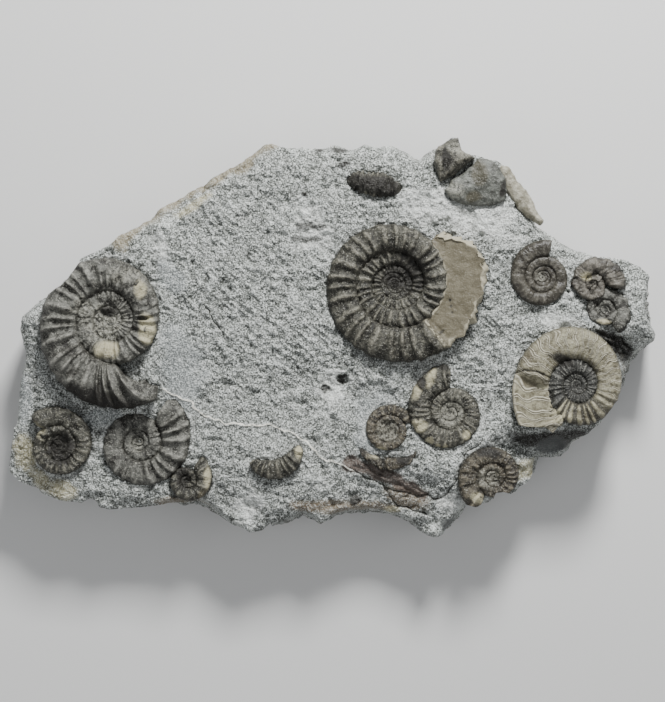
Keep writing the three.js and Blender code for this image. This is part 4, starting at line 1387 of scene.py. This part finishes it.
class SlabSettings(bpy.types.PropertyGroup):
    relief: bpy.props.FloatProperty(
        name="Relief", description="Strength of the fine relief of the rock face", default=1.0,
        min=0, max=2)
    grain_step: bpy.props.FloatProperty(
        name="Grain step", description="Spacing of the points of the rock face", default=0.48 * MM,
        min=0.3 * MM, max=3 * MM, unit="LENGTH")
    stone: bpy.props.FloatVectorProperty(
        name="Stone", description="Main colour of the rock", default=tone(115, 118, 113), **COLOUR)
    stone_light: bpy.props.FloatVectorProperty(
        name="Light stone", description="Colour of the lighter rock", default=tone(143, 146, 141), **COLOUR)


class ShellSettings(bpy.types.PropertyGroup):
    detail: bpy.props.FloatProperty(
        name="Detail", description="How finely the shells are divided", default=1.0, min=0.3, max=1.2)
    wear: bpy.props.FloatProperty(
        name="Wear", description="Depth of the wear of the shells", default=0.22 * MM, min=0, max=1 * MM,
        unit="LENGTH")
    crest: bpy.props.FloatVectorProperty(
        name="Rib", description="Colour of the backs of the ribs", default=tone(136, 133, 119), **COLOUR)
    body: bpy.props.FloatVectorProperty(
        name="Shell", description="Main colour of the dark shells", default=tone(74, 73, 65), **COLOUR)
    groove: bpy.props.FloatVectorProperty(
        name="Groove", description="Colour of the hollows of the shells", default=tone(34, 33, 28),
        **COLOUR)
    cream: bpy.props.FloatVectorProperty(
        name="Cream", description="Colour of the cream patches", default=tone(172, 166, 138), **COLOUR)


class StageSettings(bpy.types.PropertyGroup):
    floor: bpy.props.FloatVectorProperty(
        name="Floor", description="Colour of the floor", default=tone(214, 214, 212), **COLOUR)
    key: bpy.props.FloatProperty(
        name="Key light", description="Power of the main light, in watts", default=7.0, min=0, max=100)


class FOSSIL_OT_rock(bpy.types.Operator):
    """Make the slab of limestone with its rough face, sides and underside"""
    bl_idname = "fossil.rock"
    bl_label = "Rock"

    def execute(self, context):
        settings = context.scene.fossil_slab
        points, faces, values = rock_points(settings)
        thing = mesh_object("rock_look", points, faces, smooth=False)
        mesh = thing.data
        bpy.data.objects.remove(thing)
        for name, numbers in values.items():
            paint(mesh, name, numbers)
        finish_piece(mesh, "rock", rock_material(settings))
        return {"FINISHED"}


class FOSSIL_OT_shells(bpy.types.Operator):
    """Make the whole shells that lie in the face"""
    bl_idname = "fossil.shells"
    bl_label = "Shells"

    def execute(self, context):
        settings = context.scene.fossil_shells
        for name, shell in SHELLS.items():
            finish_shell(make_shell(name, shell, settings), name, shell["finish"], settings)
        return {"FINISHED"}


class FOSSIL_OT_whorl_pieces(bpy.types.Operator):
    """Make the curved pieces of one whorl"""
    bl_idname = "fossil.whorl_pieces"
    bl_label = "Whorl Pieces"

    def execute(self, context):
        settings = context.scene.fossil_shells
        for name, piece in WHORL_PIECES.items():
            finish_shell(make_whorl_piece(name, piece, settings), name, piece["finish"], settings)
        return {"FINISHED"}


class FOSSIL_OT_edge_on_shell(bpy.types.Operator):
    """Make the shell that stands on edge"""
    bl_idname = "fossil.edge_on_shell"
    bl_label = "Edge-on Shell"

    def execute(self, context):
        settings = context.scene.fossil_shells
        name = "edge_on_ammonite"
        mesh = make_edge_on_shell(name, EDGE_ON_SHELL, settings)
        finish_shell(mesh, name, EDGE_ON_SHELL["finish"], settings)
        return {"FINISHED"}


class FOSSIL_OT_rim_pieces(bpy.types.Operator):
    """Make the three pieces of shell at the top rim"""
    bl_idname = "fossil.rim_pieces"
    bl_label = "Rim Pieces"

    def execute(self, context):
        settings = context.scene.fossil_shells
        for name, piece in FRAGMENTS.items():
            finish_shell(make_fragment(name, piece), name, piece["finish"], settings)
        return {"FINISHED"}


class FOSSIL_OT_stage(bpy.types.Operator):
    """Set the floor, the lights and the camera"""
    bl_idname = "fossil.stage"
    bl_label = "Stage"

    def execute(self, context):
        settings = context.scene.fossil_stage
        scene = context.scene
        floor = mesh_object("floor", [(-2, -2, 0), (2, -2, 0), (2, 2, 0), (-2, 2, 0)], [[0, 1, 2, 3]])
        material, _, shader = new_material("Floor")
        shader.inputs["Base Color"].default_value = (*settings.floor, 1)
        shader.inputs["Roughness"].default_value = 0.9
        floor.data.materials.append(material)

        # Name, place and size in metres, and power in watts
        lights = (("key", (0.1, 0.46, 0.36), 0.13, settings.key), ("fill", (-0.35, -0.3, 0.5), 0.5, 1.1),
                  ("side", (0.5, -0.05, 0.4), 0.4, 0.7))
        for name, place, size, power in lights:
            light = bpy.data.lights.new(name, "AREA")
            light.size = size
            light.energy = power
            lamp = bpy.data.objects.new(name, light)
            lamp.location = place
            lamp.rotation_euler = (Vector((0, 0, 0.02)) - Vector(place)).to_track_quat("-Z", "Y").to_euler()
            scene.collection.objects.link(lamp)

        world = bpy.data.worlds.new("World")
        world.use_nodes = True
        world.node_tree.nodes["Background"].inputs["Color"].default_value = (0.9, 0.93, 1, 1)
        world.node_tree.nodes["Background"].inputs["Strength"].default_value = 0.25
        scene.world = world

        # The photograph looks straight down on the face
        camera = bpy.data.cameras.new("camera")
        camera.sensor_fit = "VERTICAL"
        camera.sensor_height = 36
        distance, face_level = 0.6, 0.02
        camera.lens = camera.sensor_height * distance / (PHOTO_HEIGHT * PIXEL)
        view = bpy.data.objects.new("camera", camera)
        centre = at((PHOTO_WIDTH / 2, PHOTO_HEIGHT / 2))
        view.location = (centre[0], centre[1], face_level + distance)
        scene.collection.objects.link(view)
        scene.camera = view
        return {"FINISHED"}


class FOSSIL_PT_panel(bpy.types.Panel):
    """Buttons and settings of the fossil"""
    bl_label = "Fossil"
    bl_idname = "FOSSIL_PT_panel"
    bl_space_type = "VIEW_3D"
    bl_region_type = "UI"
    bl_category = "Fossil"

    def draw(self, context):
        for operator in OPERATORS:
            self.layout.operator(operator.bl_idname)
        for group in SETTINGS:
            settings = getattr(context.scene, group)
            for name in type(settings).__annotations__:
                self.layout.prop(settings, name)


SETTINGS = {"fossil_slab": SlabSettings, "fossil_shells": ShellSettings, "fossil_stage": StageSettings}
OPERATORS = (FOSSIL_OT_shells, FOSSIL_OT_whorl_pieces, FOSSIL_OT_edge_on_shell, FOSSIL_OT_rim_pieces,
             FOSSIL_OT_rock, FOSSIL_OT_stage)


def register():
    for kind in (*SETTINGS.values(), *OPERATORS, FOSSIL_PT_panel):
        bpy.utils.register_class(kind)
    for name, kind in SETTINGS.items():
        setattr(bpy.types.Scene, name, bpy.props.PointerProperty(type=kind))


def unregister():
    for name in SETTINGS:
        delattr(bpy.types.Scene, name)
    for kind in (FOSSIL_PT_panel, *reversed(OPERATORS), *SETTINGS.values()):
        bpy.utils.unregister_class(kind)


def main():
    register()
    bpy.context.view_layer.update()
    bpy.ops.fossil.shells()
    bpy.ops.fossil.whorl_pieces()
    bpy.ops.fossil.edge_on_shell()
    bpy.ops.fossil.rim_pieces()
    bpy.ops.fossil.rock()
    bpy.ops.fossil.stage()


if __name__ == "__main__":
    main()
